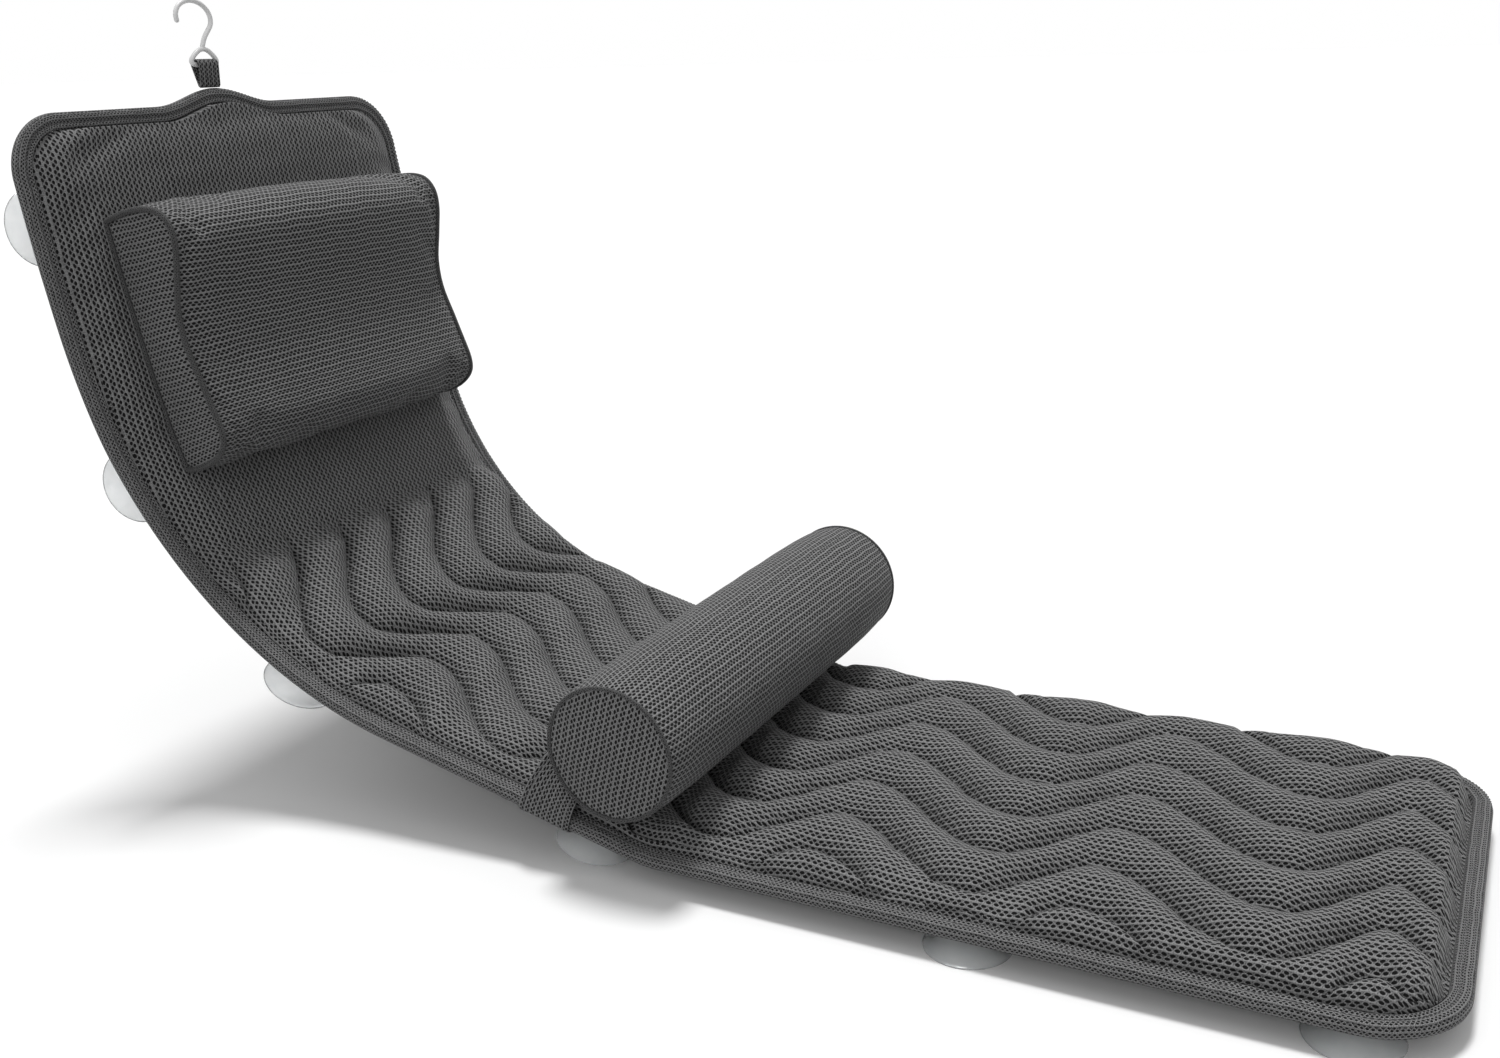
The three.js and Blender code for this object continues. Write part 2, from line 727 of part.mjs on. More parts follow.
function strapLoop() {
  const lead = radians(strapLeadDegrees);
  const spread = strapWidth / (bolsterRadius + clearance + strapThickness / 2);
  const edge = legWidth / 2 + strapSideClearance;
  // the flat facets of the strap stay clear of the round bolster
  const facetReach = (bolsterRadius + clearance) / Math.cos(spread / (strapStationShares.length - 1) / 2);
  const seat = bolsterPlace + facetReach * Math.sin(lead);
  // corners of half the loop, from the middle of the top run to the middle of the bottom run
  const half = (share, outer) => {
    const turn = lead + share * spread;
    const reach = facetReach + (outer ? 0 : strapThickness);
    const onBolster = [bolsterPlace + reach * Math.sin(turn), bolsterLevel - reach * Math.cos(turn)];
    const low = seat + share * strapWidth;
    const out = outer ? strapThickness : 0;
    const down = (k, to) => (
      [[onBolster[0], low], [onBolster[1], to]].map(([from, end]) => mix(from, end, strapFallShares[k])));
    return [
      [0, ...onBolster], [(edge - strapInset) / 2, ...onBolster], [edge - strapInset, ...onBolster],
      [edge - strapInset / 2 + out / 2, ...down(0, quiltCrest + out)],
      [edge - strapThickness + out, ...down(1, bindingHeight + strapThickness + out)],
      [edge + out, low, bindingHeight - bindingRounding],
      [edge + out, low, bindingRounding / 2],
      [edge - bindingRounding + out / 2, low, -clearance - out],
      [(edge - strapInset) / 2, low, -clearance - out], [0, low, -clearance - out],
    ];
  };
  const full = (share, outer) => {
    const right = half(share, outer);
    return [...right, ...right.slice(1, -1).reverse().map(([x, s, n]) => [-x, s, n])];
  };
  const columns = [...strapStationShares.map((share) => full(share, true)),
    ...[...strapStationShares].reverse().map((share) => full(share, false))];
  const points = [], faces = [];
  const rings = columns[0].map((_, i) => columns.map((column) => {
    const [x, s, n] = column[i];
    return points.push(onRamp(x, s, n)) - 1;
  }));
  joinRings(rings, faces, true);
  return outward(body(points, faces));
}

// the ramp's straight frame, carried on past its ends, in which the bolster slides
function onRamp(x, s, n) {
  const { y, z, angle } = spine(bolsterPlace);
  const along = s - bolsterPlace;
  return new THREE.Vector3(x, y + along * Math.cos(angle) - n * Math.sin(angle),
    cupHeight + z + along * Math.sin(angle) + n * Math.cos(angle));
}

// Hanging loop and hook, drawn in the plane of the head end

const loopAxis = matLength + humpHeight + clearance + loopThickness;
const barLevel = loopAxis + loopHeight - loopThickness - hookPlay - hookWire / 2;

// the loop's fold as pairs of outer and inner [s, n] points
function loopFold() {
  const innerHalf = loopInner / 2, outerHalf = innerHalf + loopThickness;
  const crown = loopAxis + loopHeight - outerHalf;
  const at = (radius, turn) => [crown + radius * Math.sin(turn), radius * Math.cos(turn)];
  const arc = Array.from({ length: loopArcSteps + 1 }, (_, k) => (
    [outerHalf, innerHalf].map((radius) => at(radius, Math.PI * k / loopArcSteps))));
  const leg = (side) => [[loopAxis, side * loopThickness], [loopAxis + outerHalf, side * innerHalf / 2]];
  const root = [[loopAxis - loopThickness, 0], [loopAxis + 1.6 * loopThickness, 0]];
  return [...arc, leg(-1), root, leg(1)];
}

function addLoop() {
  const points = [], faces = [];
  const rings = loopFold().map(([outer, inner]) => (
    [[outer, -1], [outer, 1], [inner, 1], [inner, -1]].map(([[s, n], side]) => (
      points.push(new THREE.Vector3(s, n, side * loopWidth / 2)) - 1))));
  joinRings(rings, faces, true);
  add('hanging_loop', outward(headFrame(body(points, faces))), tape());
}

// maps a flat drawing of (s, n, x) into the plane of the head end
function headFrame(geometry) {
  const { angle } = spine(matLength);
  const origin = place(loopOffset, matLength, bindingHeight / 2);
  const alongAxis = new THREE.Vector3(0, Math.cos(angle), Math.sin(angle));
  const outAxis = new THREE.Vector3(0, -Math.sin(angle), Math.cos(angle));
  const matrix = new THREE.Matrix4().makeBasis(alongAxis, outAxis, new THREE.Vector3(1, 0, 0));
  return geometry.clone().translate(-matLength, 0, 0).applyMatrix4(matrix.setPosition(origin));
}

// a round wire through points of the hook's plane, mitred at its corners
function wireSolid(points, closed) {
  const radius = hookWire / 2;
  const corners = [], faces = [];
  const count = points.length;
  const rings = points.map((point, i) => {
    const before = points[i - 1] ?? (closed ? points[count - 1] : point);
    const after = points[i + 1] ?? (closed ? points[0] : point);
    const incoming = point.clone().sub(before), outgoing = after.clone().sub(point);
    const first = incoming.lengthSq() ? incoming.normalize() : outgoing.clone().normalize();
    const second = outgoing.lengthSq() ? outgoing.normalize() : first.clone();
    const along = first.clone().add(second).normalize();
    const stretch = 1 / Math.max(along.dot(second), 0.5);
    return Array.from({ length: hookSides }, (_, k) => {
      const turn = 2 * Math.PI * (k + 0.5) / hookSides;
      const across = radius * stretch * Math.cos(turn);
      return corners.push(new THREE.Vector3(
        point.x - along.y * across, point.y + along.x * across, radius * Math.sin(turn))) - 1;
    });
  });
  joinRings(rings, faces, closed);
  if (!closed) {
    const ends = [rings[0], rings.at(-1)];
    ends.forEach((ring, i) => ring.slice(1, -1).forEach((corner, k) => {
      const face = [ring[0], corner, ring[k + 2]];
      faces.push(i ? face : face.reverse());
    }));
  }
  return outward(body(corners, faces));
}

function addHook() {
  const at = (x, up) => new THREE.Vector2(x, up);
  const bend = Array.from({ length: hookArcSteps + 1 }, (_, k) => {
    const turn = radians(mix(hookTipDegrees, hookTurnDegrees, k / hookArcSteps));
    return at(hookHalfWidth * Math.cos(turn) - hookLean, hookRise + hookHalfHeight * Math.sin(turn));
  });
  const apex = at(hookApexOffset, hookApex), low = bend.at(-1);
  const stem = [at(mix(low.x, apex.x, 0.6), mix(low.y, apex.y, 0.5)), apex];
  const eye = [apex, at(hookShoulderWidth / 2, hookShoulderRise), at(hookBarWidth / 2, 0),
    at(-hookBarWidth / 2, 0), at(-hookShoulderWidth / 2, hookShoulderRise)];
  const hook = toSolid(wireSolid([...bend, ...stem], false)).add(toSolid(wireSolid(eye, true)));
  // the wire is drawn with x across and y up; the head frame wants (s, n, x)
  const turnedRound = toGeometry(hook).applyMatrix4(new THREE.Matrix4().makeBasis(
    new THREE.Vector3(0, 0, 1), new THREE.Vector3(1, 0, 0), new THREE.Vector3(0, 1, 0)));
  add('hook', outward(headFrame(turnedRound.translate(barLevel, 0, 0))), hookPlastic());
}

// Suction cups: a thin bell on a neck, held in its eyelet by a flat head

function cupProfile() {
  const seat = backingThickness + clearance;
  const dome = -cupDomeDrop;
  return [
    [0, seat + cupHeadHeight], [cupHeadRadius, seat + cupHeadHeight], [cupHeadRadius, seat],
    [cupNeckRadius, seat], [cupNeckRadius, dome], [cupDomeRadius, dome],
    [mix(cupDomeRadius, cupRadius, 0.6), mix(dome, -cupHeight, 0.4)],
    [cupRadius, -cupHeight + cupWall], [cupRadius, -cupHeight], [cupRadius - cupRimWidth, -cupHeight],
    [mix(cupDomeRadius, cupRadius, 0.5), mix(dome, -cupHeight, 0.42) - cupWall], [0, dome - 2 * cupWall],
  ];
}

function addCups() {
  const bell = lathed(cupProfile(), cupSides);
  for (const cup of cupPlaces()) {
    add(`suction_cup_${cup.name}`, outward(toClosed(standing(bell, cup.x, cup.s, 0))), cupPlastic());
  }
}

addQuilt();
addLayers();
addBinding();
addHeadrest();
addBolster();
add('bolster_strap', strapLoop(), tape());
addLoop();
addHook();
addCups();

// the origin is the middle of the cushion's footprint, on the plane of the leg cups' rims
const footprint = new THREE.Box3().setFromObject(group, true).getCenter(new THREE.Vector3());
group.position.y = -footprint.y;
group.updateMatrixWorld(true);

export default group;
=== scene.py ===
"""A full-length bath cushion: quilted mesh mat, binding, headrest, bolster, strap, loop, hook and suction cups.

Lengths in the shape functions are millimetres in mat coordinates: x across, s along the underside, n up out of it.
place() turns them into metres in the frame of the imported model.
"""
import math
from functools import partial

import bmesh
import bpy
import numpy as np
from bpy.props import FloatProperty, FloatVectorProperty, PointerProperty
from bpy.types import Operator, Panel, PropertyGroup
from mathutils import Matrix


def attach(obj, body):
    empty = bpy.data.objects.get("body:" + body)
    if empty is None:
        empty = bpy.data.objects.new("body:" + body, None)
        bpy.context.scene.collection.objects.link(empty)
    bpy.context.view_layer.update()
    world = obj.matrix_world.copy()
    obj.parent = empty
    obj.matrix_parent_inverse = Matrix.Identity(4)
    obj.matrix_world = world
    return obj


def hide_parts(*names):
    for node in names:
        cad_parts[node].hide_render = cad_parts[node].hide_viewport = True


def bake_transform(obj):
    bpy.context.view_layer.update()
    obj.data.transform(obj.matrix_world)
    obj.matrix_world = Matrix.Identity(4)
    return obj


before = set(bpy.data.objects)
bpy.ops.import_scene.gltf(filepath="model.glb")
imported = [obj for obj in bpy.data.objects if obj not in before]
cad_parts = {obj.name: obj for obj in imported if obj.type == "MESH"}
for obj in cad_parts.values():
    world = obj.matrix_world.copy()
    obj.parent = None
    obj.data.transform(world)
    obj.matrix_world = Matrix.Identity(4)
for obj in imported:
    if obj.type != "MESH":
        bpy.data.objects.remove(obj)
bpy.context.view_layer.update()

bl_info = {
    "name": "Bath Cushion",
    "version": (1, 0, 0),
    "blender": (4, 5, 0),
    "location": "3D View > Sidebar > Bath Cushion",
    "description": "Builds a quilted bath cushion with headrest, bolster, hook and suction cups",
    "category": "Add Mesh",
}

MM = 0.001

# The mat's side profile and outline, as in the solid model

LEG_LENGTH, KNEE_RADIUS, RAMP_TURN, RAMP_LENGTH = 485, 72, math.radians(14), 211
BACK_RADIUS, BACK_TURN, HEAD_RADIUS, MAT_LENGTH = 297, math.radians(60.4), 1741, 1252
RAMP_END = LEG_LENGTH + KNEE_RADIUS * RAMP_TURN + RAMP_LENGTH
STRETCHES = (
    (LEG_LENGTH, 0), (KNEE_RADIUS * RAMP_TURN, 1 / KNEE_RADIUS), (RAMP_LENGTH, 0),
    (BACK_RADIUS * BACK_TURN, 1 / BACK_RADIUS), (1e6, 1 / HEAD_RADIUS),
)
CUP_HEIGHT, FRAME_SHIFT = 14, -487.9620972
LEG_WIDTH, HEAD_WIDTH, FLARE_LENGTH, FLARE_TURN = 350, 401, 388, 0.75
FOOT_CORNER, HEAD_CORNER, HUMP_HEIGHT, HUMP_REACH = 58, 45, 12, 62
HIP = (661, 741)
BINDING_WIDTH, BINDING_HEIGHT, RIM_INSET = 12.5, 9.8, 12.8
SEAM_LEVEL, RIM_LEVEL, PLAIN_LEVEL, BEARING_LEVEL = 4.8, 8.2, 17, 21.8
SEAMS, SEAM_SHIFT, SEAM_RIM_GAP, WAVE_START, WAVE_RISE, QUILT_END, QUILT_FADE = 7, -9, 3, 110, 0.6, 905, 34
CUP_SHARES = (0.0455, 0.2221, 0.4329, 0.6398, 0.786, 0.939)
BOLSTER_PLACE, BOLSTER_LEVEL, BOLSTER_MIDDLE, BOLSTER_REST = 532, 72.1, 10, 22.35
QUILT_UNDERSIDE, PANEL_DEPTH, CORD_SIDES, STRAP_WIDTH, STRAP_THICK = 1.9, 2.5, 12, 40, 1.6


def spine(s):
    s = np.asarray(s, float)
    y, z, angle = np.zeros_like(s), np.zeros_like(s), np.zeros_like(s)
    start, turned = 0.0, 0.0
    for length, bend in STRETCHES:
        run = np.clip(s - start, 0 if start else -1e6, length)
        if bend:
            y = y + (np.sin(turned + run * bend) - math.sin(turned)) / bend
            z = z - (np.cos(turned + run * bend) - math.cos(turned)) / bend
        else:
            y, z = y + run * math.cos(turned), z + run * math.sin(turned)
        angle = angle + run * bend
        start, turned = start + length, turned + length * bend
    return y, z, angle


def place(x, s, n):
    y, z, angle = spine(s)
    x, n = np.broadcast_to(x, y.shape), np.broadcast_to(n, y.shape)
    return np.stack([x, y - n * np.sin(angle) + FRAME_SHIFT, CUP_HEIGHT + z + n * np.cos(angle)], -1) * MM


def on_ramp(x, s, n):
    """The ramp's straight frame, in which the bolster slides."""
    y, z, angle = (float(v) for v in spine(BOLSTER_PLACE))
    along = np.asarray(s, float) - BOLSTER_PLACE
    x, n = np.broadcast_to(x, along.shape), np.broadcast_to(n, along.shape)
    return np.stack([
        x, y + along * math.cos(angle) - n * math.sin(angle) + FRAME_SHIFT,
        CUP_HEIGHT + z + along * math.sin(angle) + n * math.cos(angle)], -1) * MM


def smooth(start, end, value):
    t = np.clip((np.asarray(value, float) - start) / (end - start), 0, 1)
    return t * t * (3 - 2 * t)


def mix(a, b, share):
    return a + (b - a) * share


def side_width(s):
    t = np.clip((np.asarray(s, float) - RAMP_END) / FLARE_LENGTH, 0, 1)
    flare = np.where(t < FLARE_TURN, t ** 2 / FLARE_TURN, 1 - (1 - t) ** 2 / (1 - FLARE_TURN))
    return mix(LEG_WIDTH, HEAD_WIDTH, flare) / 2


def half_width(s, inset=0.0):
    s = np.asarray(s, float)
    side = side_width(s)

    def rounded(radius, depth):
        reach = radius - inset
        past = np.clip(depth, 0, reach)
        return side - radius + np.sqrt(reach ** 2 - past ** 2)

    return np.minimum(rounded(FOOT_CORNER, FOOT_CORNER - s), rounded(HEAD_CORNER, s - MAT_LENGTH + HEAD_CORNER))


def hump(x):
    x = np.asarray(x, float)
    return np.where(np.abs(x) < HUMP_REACH, HUMP_HEIGHT * (1 + np.cos(np.pi * x / HUMP_REACH)) / 2, 0)


def ripple(*terms):
    """A smooth irregular value from fixed waves, about -1 to 1: each term is (values, wavelength, phase)."""
    return sum(np.sin(2 * np.pi * v / length + phase) for v, length, phase in terms) / len(terms)


def unit(vectors):
    return vectors / np.linalg.norm(vectors, axis=1, keepdims=True)


def run_round(line):
    """The length run along a closed line at each of its points, and back at the first."""
    return np.concatenate([[0], np.cumsum(np.linalg.norm(np.roll(line, -1, 0) - line, axis=1))])


def catmull_rom(knots, per):
    """Points of a smooth curve between the second knot and the last but one, per of them from each knot on."""
    t = np.linspace(0, 1, per, endpoint=False)[:, None]
    return np.vstack([
        0.5 * (2 * b + (c - a) * t + (2 * a - 5 * b + 4 * c - d) * t ** 2 + (3 * b - a - 3 * c + d) * t ** 3)
        for a, b, c, d in zip(knots[:-3], knots[1:-2], knots[2:-1], knots[3:])])


def stations(count):
    """Places from -1 to 1 that lie closer together towards both ends."""
    even = np.linspace(-1, 1, count)
    return mix(np.sin(even * np.pi / 2), even, 0.5)


def circle(count):
    return np.linspace(0, 2 * np.pi, count, endpoint=False)


# Meshes

def new_object(name, data):
    obj = bpy.data.objects.new(name, data)
    bpy.context.scene.collection.objects.link(obj)
    return obj


def new_mesh(name, points, faces, uvs=None, material=None, edges=()):
    """A mesh object from points in metres; uvs are one (u, v) in metres for each face corner."""
    mesh = bpy.data.meshes.new(name)
    mesh.from_pydata(np.asarray(points, float).reshape(-1, 3).tolist(), edges, faces)
    if uvs is not None:
        layer = mesh.uv_layers.new(name="cloth")
        layer.data.foreach_set("uv", np.asarray(uvs, np.float32).ravel())
    mesh.polygons.foreach_set("use_smooth", [True] * len(mesh.polygons))
    mesh.update()
    if material:
        mesh.materials.append(material)
    return new_object(name, mesh)


def closed_mesh(name, points, faces, uvs, material):
    """A mesh object whose faces all look outward."""
    obj = new_mesh(name, points, faces, uvs, material)
    bm = bmesh.new()
    bm.from_mesh(obj.data)
    bmesh.ops.recalc_face_normals(bm, faces=bm.faces)
    if bm.calc_volume(signed=True) < 0:
        bmesh.ops.reverse_faces(bm, faces=bm.faces)
    bm.to_mesh(obj.data)
    bm.free()
    return obj


def by_corner(values, faces):
    """Gives the value of each point to the corners of the faces that use it."""
    return values[[corner for face in faces for corner in face]]


def rim_pairs(rows, cols):
    """The (row, column) places round the edge of a grid, each with the one after it."""
    rim = [(0, j) for j in range(cols)] + [(i, cols - 1) for i in range(1, rows)]
    rim += [(rows - 1, j) for j in range(cols - 2, -1, -1)] + [(i, 0) for i in range(rows - 2, 0, -1)]
    return zip(rim, rim[1:] + rim[:1])


def grid_faces(rows, cols, close_rows=False, close_cols=False, start=0):
    """Faces of a grid of points, with the row and column of each corner before any wrap."""
    i, j = np.meshgrid(np.arange(rows if close_rows else rows - 1), np.arange(cols if close_cols else cols - 1),
                       indexing="ij")
    i, j = i.ravel(), j.ravel()
    ci = np.stack([i, i, i + 1, i + 1], 1)
    cj = np.stack([j, j + 1, j + 1, j], 1)
    faces = start + (ci % rows) * cols + (cj % cols)
    return faces, ci, cj


def grid_object(name, points, uv, material, capped=False):
    """A ring of rings of points, rows x cols x 3, or a tube with a cap at each end; uv(i, j) is a corner's place."""
    rows, cols = points.shape[:2]
    faces, ci, cj = grid_faces(rows, cols, not capped, True)
    faces, uvs = faces.tolist(), np.stack(uv(ci, cj), -1).reshape(-1, 2).tolist()
    if capped:
        for ring in (list(range(cols))[::-1], [(rows - 1) * cols + k for k in range(cols)]):
            faces.append(ring)
            uvs.extend([k * MM, 0] for k in range(cols))
    return closed_mesh(name, points, faces, uvs, material)


def coordinates(obj):
    co = np.zeros(len(obj.data.vertices) * 3)
    obj.data.vertices.foreach_get("co", co)
    return co.reshape(-1, 3)


def apply_modifiers(obj):
    """Replaces the object's mesh by what its modifiers make of it."""
    graph = bpy.context.evaluated_depsgraph_get()
    mesh = bpy.data.meshes.new_from_object(obj.evaluated_get(graph), preserve_all_data_layers=True, depsgraph=graph)
    obj.modifiers.clear()
    obj.data = mesh
    mesh.name = obj.name


def finer(grid, axis, closed):
    """Twice as many rows along an axis of a grid of points, on a smooth curve through them."""
    grid = np.moveaxis(grid, axis, 0)
    before, after, beyond = (np.roll(grid, shift, 0) for shift in (1, -1, -2))
    if not closed:
        before[0], after[-1], beyond[-1], beyond[-2] = grid[0], grid[-1], grid[-1], grid[-1]
    middle = (9 * (grid + after) - before - beyond) / 16
    woven = np.stack([grid, middle], 1).reshape(-1, *grid.shape[1:])
    return np.moveaxis(woven if closed else woven[:-1], 0, axis)


SWELL_FRAMES = 20
# pressure, slack of the cloth and share of the swell cap
MAT_SWELL, HEADREST_SWELL, BOLSTER_SWELL = (3.5, -0.01, 1), (3.0, -0.015, 1), (1.0, 0.0, 0.4)
SWELL_CLOTH = {
    "quality": 6, "mass": 0.15, "air_damping": 6, "tension_stiffness": 12, "compression_stiffness": 12,
    "shear_stiffness": 6, "bending_stiffness": 3, "use_pressure": True, "vertex_group_mass": "sewn",
    "pin_stiffness": 1.0,
}


def swell(obj, held, pressure, slack, cap_share):
    """Blows a padded cover up as cloth held at the points where it is sewn, and caps how far each point moves."""
    start = coordinates(obj)
    group = obj.vertex_groups.new(name="sewn")
    for weight in np.unique(np.round(held[held > 0], 2)):
        group.add(np.nonzero(np.abs(held - weight) < 0.006)[0].tolist(), float(weight), "REPLACE")
    cloth = obj.modifiers.new("Cloth", "CLOTH")
    for name, value in {**SWELL_CLOTH, "uniform_pressure_force": pressure, "shrink_min": slack}.items():
        setattr(cloth.settings, name, value)
    cloth.settings.effector_weights.gravity = 0
    cloth.collision_settings.use_collision = False
    cloth.point_cache.frame_start, cloth.point_cache.frame_end = 1, SWELL_FRAMES
    scene = bpy.context.scene
    for step in range(1, SWELL_FRAMES + 1):
        scene.frame_set(step)
    apply_modifiers(obj)
    scene.frame_set(1)
    obj.vertex_groups.clear()
    move = coordinates(obj) - start
    far = np.linalg.norm(move, axis=1, keepdims=True)
    limit = scene.bath_cushion_mat.swell_cap / MM * cap_share * MM
    move *= np.where(far > 1e-9, limit * np.tanh(far / limit) / np.maximum(far, 1e-9), 0)
    swollen = start + move * (1 - held[:, None])
    obj.data.vertices.foreach_set("co", swollen.astype(np.float32).ravel())
    obj.data.update()


def stuffed(name, points, held, girth, run, *swelling):
    """A pillow's cover, blown up, then rebuilt with twice the rows and columns; girth and run are its cloth lengths."""
    def cover(grid, run):
        return grid_object(name, grid, lambda i, j: (j * girth / grid.shape[1], run[i]),
                           material_of("pillow air mesh"), capped=True)

    obj = cover(points, run)
    swell(obj, held.ravel(), *swelling)
    grid = finer(finer(coordinates(obj).reshape(points.shape), 0, False), 1, True)
    bpy.data.objects.remove(obj)
    return cover(grid, finer(run[:, None], 0, False)[:, 0])


# Materials

class Net:
    """Adds nodes to a tree and links them; values may be numbers, tuples or sockets."""

    def __init__(self, tree):
        self.tree = tree

    def put(self, node, inputs):
        for key, value in inputs.items():
            socket = node.inputs[key]
            if isinstance(value, bpy.types.NodeSocket):
                self.tree.links.new(value, socket)
            else:
                socket.default_value = value

    def node(self, kind, inputs=None, out=0, **settings):
        node = self.tree.nodes.new(kind)
        for name, value in settings.items():
            setattr(node, name, value)
        self.put(node, inputs or {})
        return node.outputs[out] if out is not None else node

    def math(self, operation, *values):
        return self.node("ShaderNodeMath", dict(enumerate(values)), operation=operation)

    def spread(self, value, low, high, to_low=0.0, to_high=1.0, kind="LINEAR"):
        return self.node("ShaderNodeMapRange", {0: value, 1: low, 2: high, 3: to_low, 4: to_high},
                         interpolation_type=kind)

    def noise(self, vector, scale, detail=2.0):
        return self.node("ShaderNodeTexNoise", {"Vector": vector, "Scale": scale, "Detail": detail})

    def bump(self, height, strength, distance, **more):
        return self.node("ShaderNodeBump", {"Height": height, "Strength": strength, "Distance": distance, **more})

    def ramp(self, value, stops):
        node = self.node("ShaderNodeValToRGB", {0: value}, out=None)
        elements = node.color_ramp.elements
        while len(elements) < len(stops):
            elements.new(0.5)
        for element, (at, shade) in zip(elements, stops):
            element.position, element.color = at, (*shade, 1)
        return node.outputs[0]

    def seen(self):
        """1 on the paths where the camera sees a thing itself, in a reflection or through the cups."""
        path = self.node("ShaderNodeLightPath", out=None).outputs
        return self.math("MAXIMUM", path["Is Camera Ray"], self.math(
            "MAXIMUM", path["Is Glossy Ray"], path["Is Transmission Ray"]))


def start_material(name):
    material = bpy.data.materials.new(name)
    material.use_nodes = True
    return material, Net(material.node_tree), material.node_tree.nodes["Principled BSDF"]


def air_mesh_group():
    """Rows of paired oval eyelets between smooth ribs, drawn on a cloth place in metres: u across the ribs, v along;
    the Shade darkens the eyelets as painted shade and lightens the rib crests as a painted highlight.
    """
    name = "Air mesh rows"
    if name in bpy.data.node_groups:
        return bpy.data.node_groups[name]
    tree = bpy.data.node_groups.new(name, "ShaderNodeTree")
    face = tree.interface
    face.new_socket("Place", in_out="INPUT", socket_type="NodeSocketVector")
    for label, value in (("Rib pitch", 5.0), ("Eyelet pitch", 4.7), ("Eyelet size", 1.0), ("Rib", 1.0)):
        face.new_socket(label, in_out="INPUT", socket_type="NodeSocketFloat").default_value = value
    for label in ("Height", "Shade"):
        face.new_socket(label, in_out="OUTPUT", socket_type="NodeSocketFloat")
    net = Net(tree)
    cloth, rib_pitch, eyelet_pitch, size, rib = net.node("NodeGroupInput", out=None).outputs[:5]
    add, less, times, over, power, line, size_of, part = (partial(net.math, operation) for operation in (
        "ADD", "SUBTRACT", "MULTIPLY", "DIVIDE", "POWER", "MULTIPLY_ADD", "ABSOLUTE", "FRACT"))
    vector = partial(net.node, "ShaderNodeVectorMath")
    step = partial(net.spread, kind="SMOOTHSTEP")
    # the place in millimetres, pushed about a little so that no row is quite straight
    place_mm = vector({0: cloth, 1: (1000, 1000, 1000)}, operation="MULTIPLY")
    drift = net.node("ShaderNodeTexNoise", {"Vector": place_mm, "Scale": 0.05, "Detail": 2.0}, out=1)
    drift = vector({0: drift, 1: (0.5, 0.5, 0.5)}, operation="SUBTRACT")
    drift = vector({0: drift, 1: (2.6, 3.4, 0)}, operation="MULTIPLY")
    u, v, _ = net.node("ShaderNodeSeparateXYZ", {0: vector({0: place_mm, 1: drift}, operation="ADD")}, out=None).outputs
    across = over(u, rib_pitch)
    share = less(part(across), 0.5)
    reach = times(size_of(less(size_of(share), 0.2)), rib_pitch)
    along = add(over(v, eyelet_pitch), times(net.math("GREATER_THAN", share, 0.0), 0.5))
    cell = times(size_of(less(part(along), 0.5)), eyelet_pitch)
    oval = net.math("SQRT", add(power(over(reach, times(size, 0.72)), 2.0), power(over(cell, times(size, 1.15)), 2.0)))
    # solid is 0 in the eyelets, where the shade drops to the near-black painted shade of the holes
    solid = step(oval, 0.82, 1.22)
    edge = times(step(oval, 0.95, 1.35), step(oval, 2.2, 1.35))
    # the rib crests lift the shade towards the strand colour: a painted highlight where the raised ribs catch light
    crest = times(power(line(net.math("COSINE", times(across, 2 * math.pi)), 0.5, 0.5), 4.0), rib)
    knit = line(net.math("SINE", add(times(v, 2 * math.pi / 1.35), times(share, 16.0))), 0.5, 0.5)
    height = times(add(line(crest, 0.5, 0.36), times(knit, 0.14)), solid)
    # the shade is 0 in the eyelets (painted shade), higher on the rib crests (painted highlight), with the knit and a
    # lighter ring round each eyelet
    shade = times(line(edge, 0.3, add(line(crest, 0.26, 0.24), times(knit, 0.16))), solid)
    net.node("NodeGroupOutput", {0: height, 1: shade}, out=None)
    return tree


def cloth_material(name, rib_pitch, eyelet_pitch, eyelet, rib, relief, shade):
    finish = bpy.context.scene.bath_cushion_finish
    material, net, shader = start_material(name)
    rows = {0: net.node("ShaderNodeUVMap", uv_map="cloth"), 1: rib_pitch, 2: eyelet_pitch, 3: eyelet, 4: rib}
    height, weave_and_painted_light = net.node("ShaderNodeGroup", rows, out=None, node_tree=air_mesh_group()).outputs
    spot = net.node("ShaderNodeTexCoord", out=3)
    blotch = net.spread(net.noise(spot, 22, 3), 0.3, 0.7, 0.96, 1.04)
    fuzz = net.spread(net.noise(spot, 1150), 0.3, 0.7, 0.8, 1.22)
    tone = net.math("MULTIPLY", net.math("MULTIPLY", weave_and_painted_light, blotch), fuzz)
    pit, body, strand = (tuple(c * shade for c in colour) for colour in (
        finish.eyelet_shade_colour, finish.cloth_colour, finish.strand_and_highlight_colour))
    bump = net.bump(height, relief, 0.0017)
    net.put(shader, {
        # the ramp runs from the eyelets' painted shade through the cloth to the strands, which carry a painted
        # highlight on the rib crests
        "Base Color": net.ramp(tone, ((0.1, pit), (0.3, body), (0.74, strand))),
        "Normal": net.bump(net.noise(spot, 1300), 0.35, 0.0003, Normal=bump),
        "Roughness": net.spread(weave_and_painted_light, 0.0, 0.8, 0.95, 0.72),
        "Specular IOR Level": 0.25, "Sheen Weight": 0.22, "Sheen Roughness": 0.45, "Sheen Tint": (0.5, 0.5, 0.5, 1),
    })
    return material


def clouded_material(name, cloud, stops, rough, bump, values):
    """A plain finish with faint clouds in its colour and, where given, in its gloss and surface."""
    material, net, shader = start_material(name)
    spot = net.node("ShaderNodeTexCoord", out=3)
    tone = net.noise(spot, *cloud)
    net.put(shader, {"Base Color": net.ramp(tone, stops), **values})
    if rough:
        net.put(shader, {"Roughness": net.spread(tone, *rough)})
    if bump:
        scale, strength, distance = bump
        net.put(shader, {"Normal": net.bump(net.noise(spot, scale), strength, distance)})
    return material


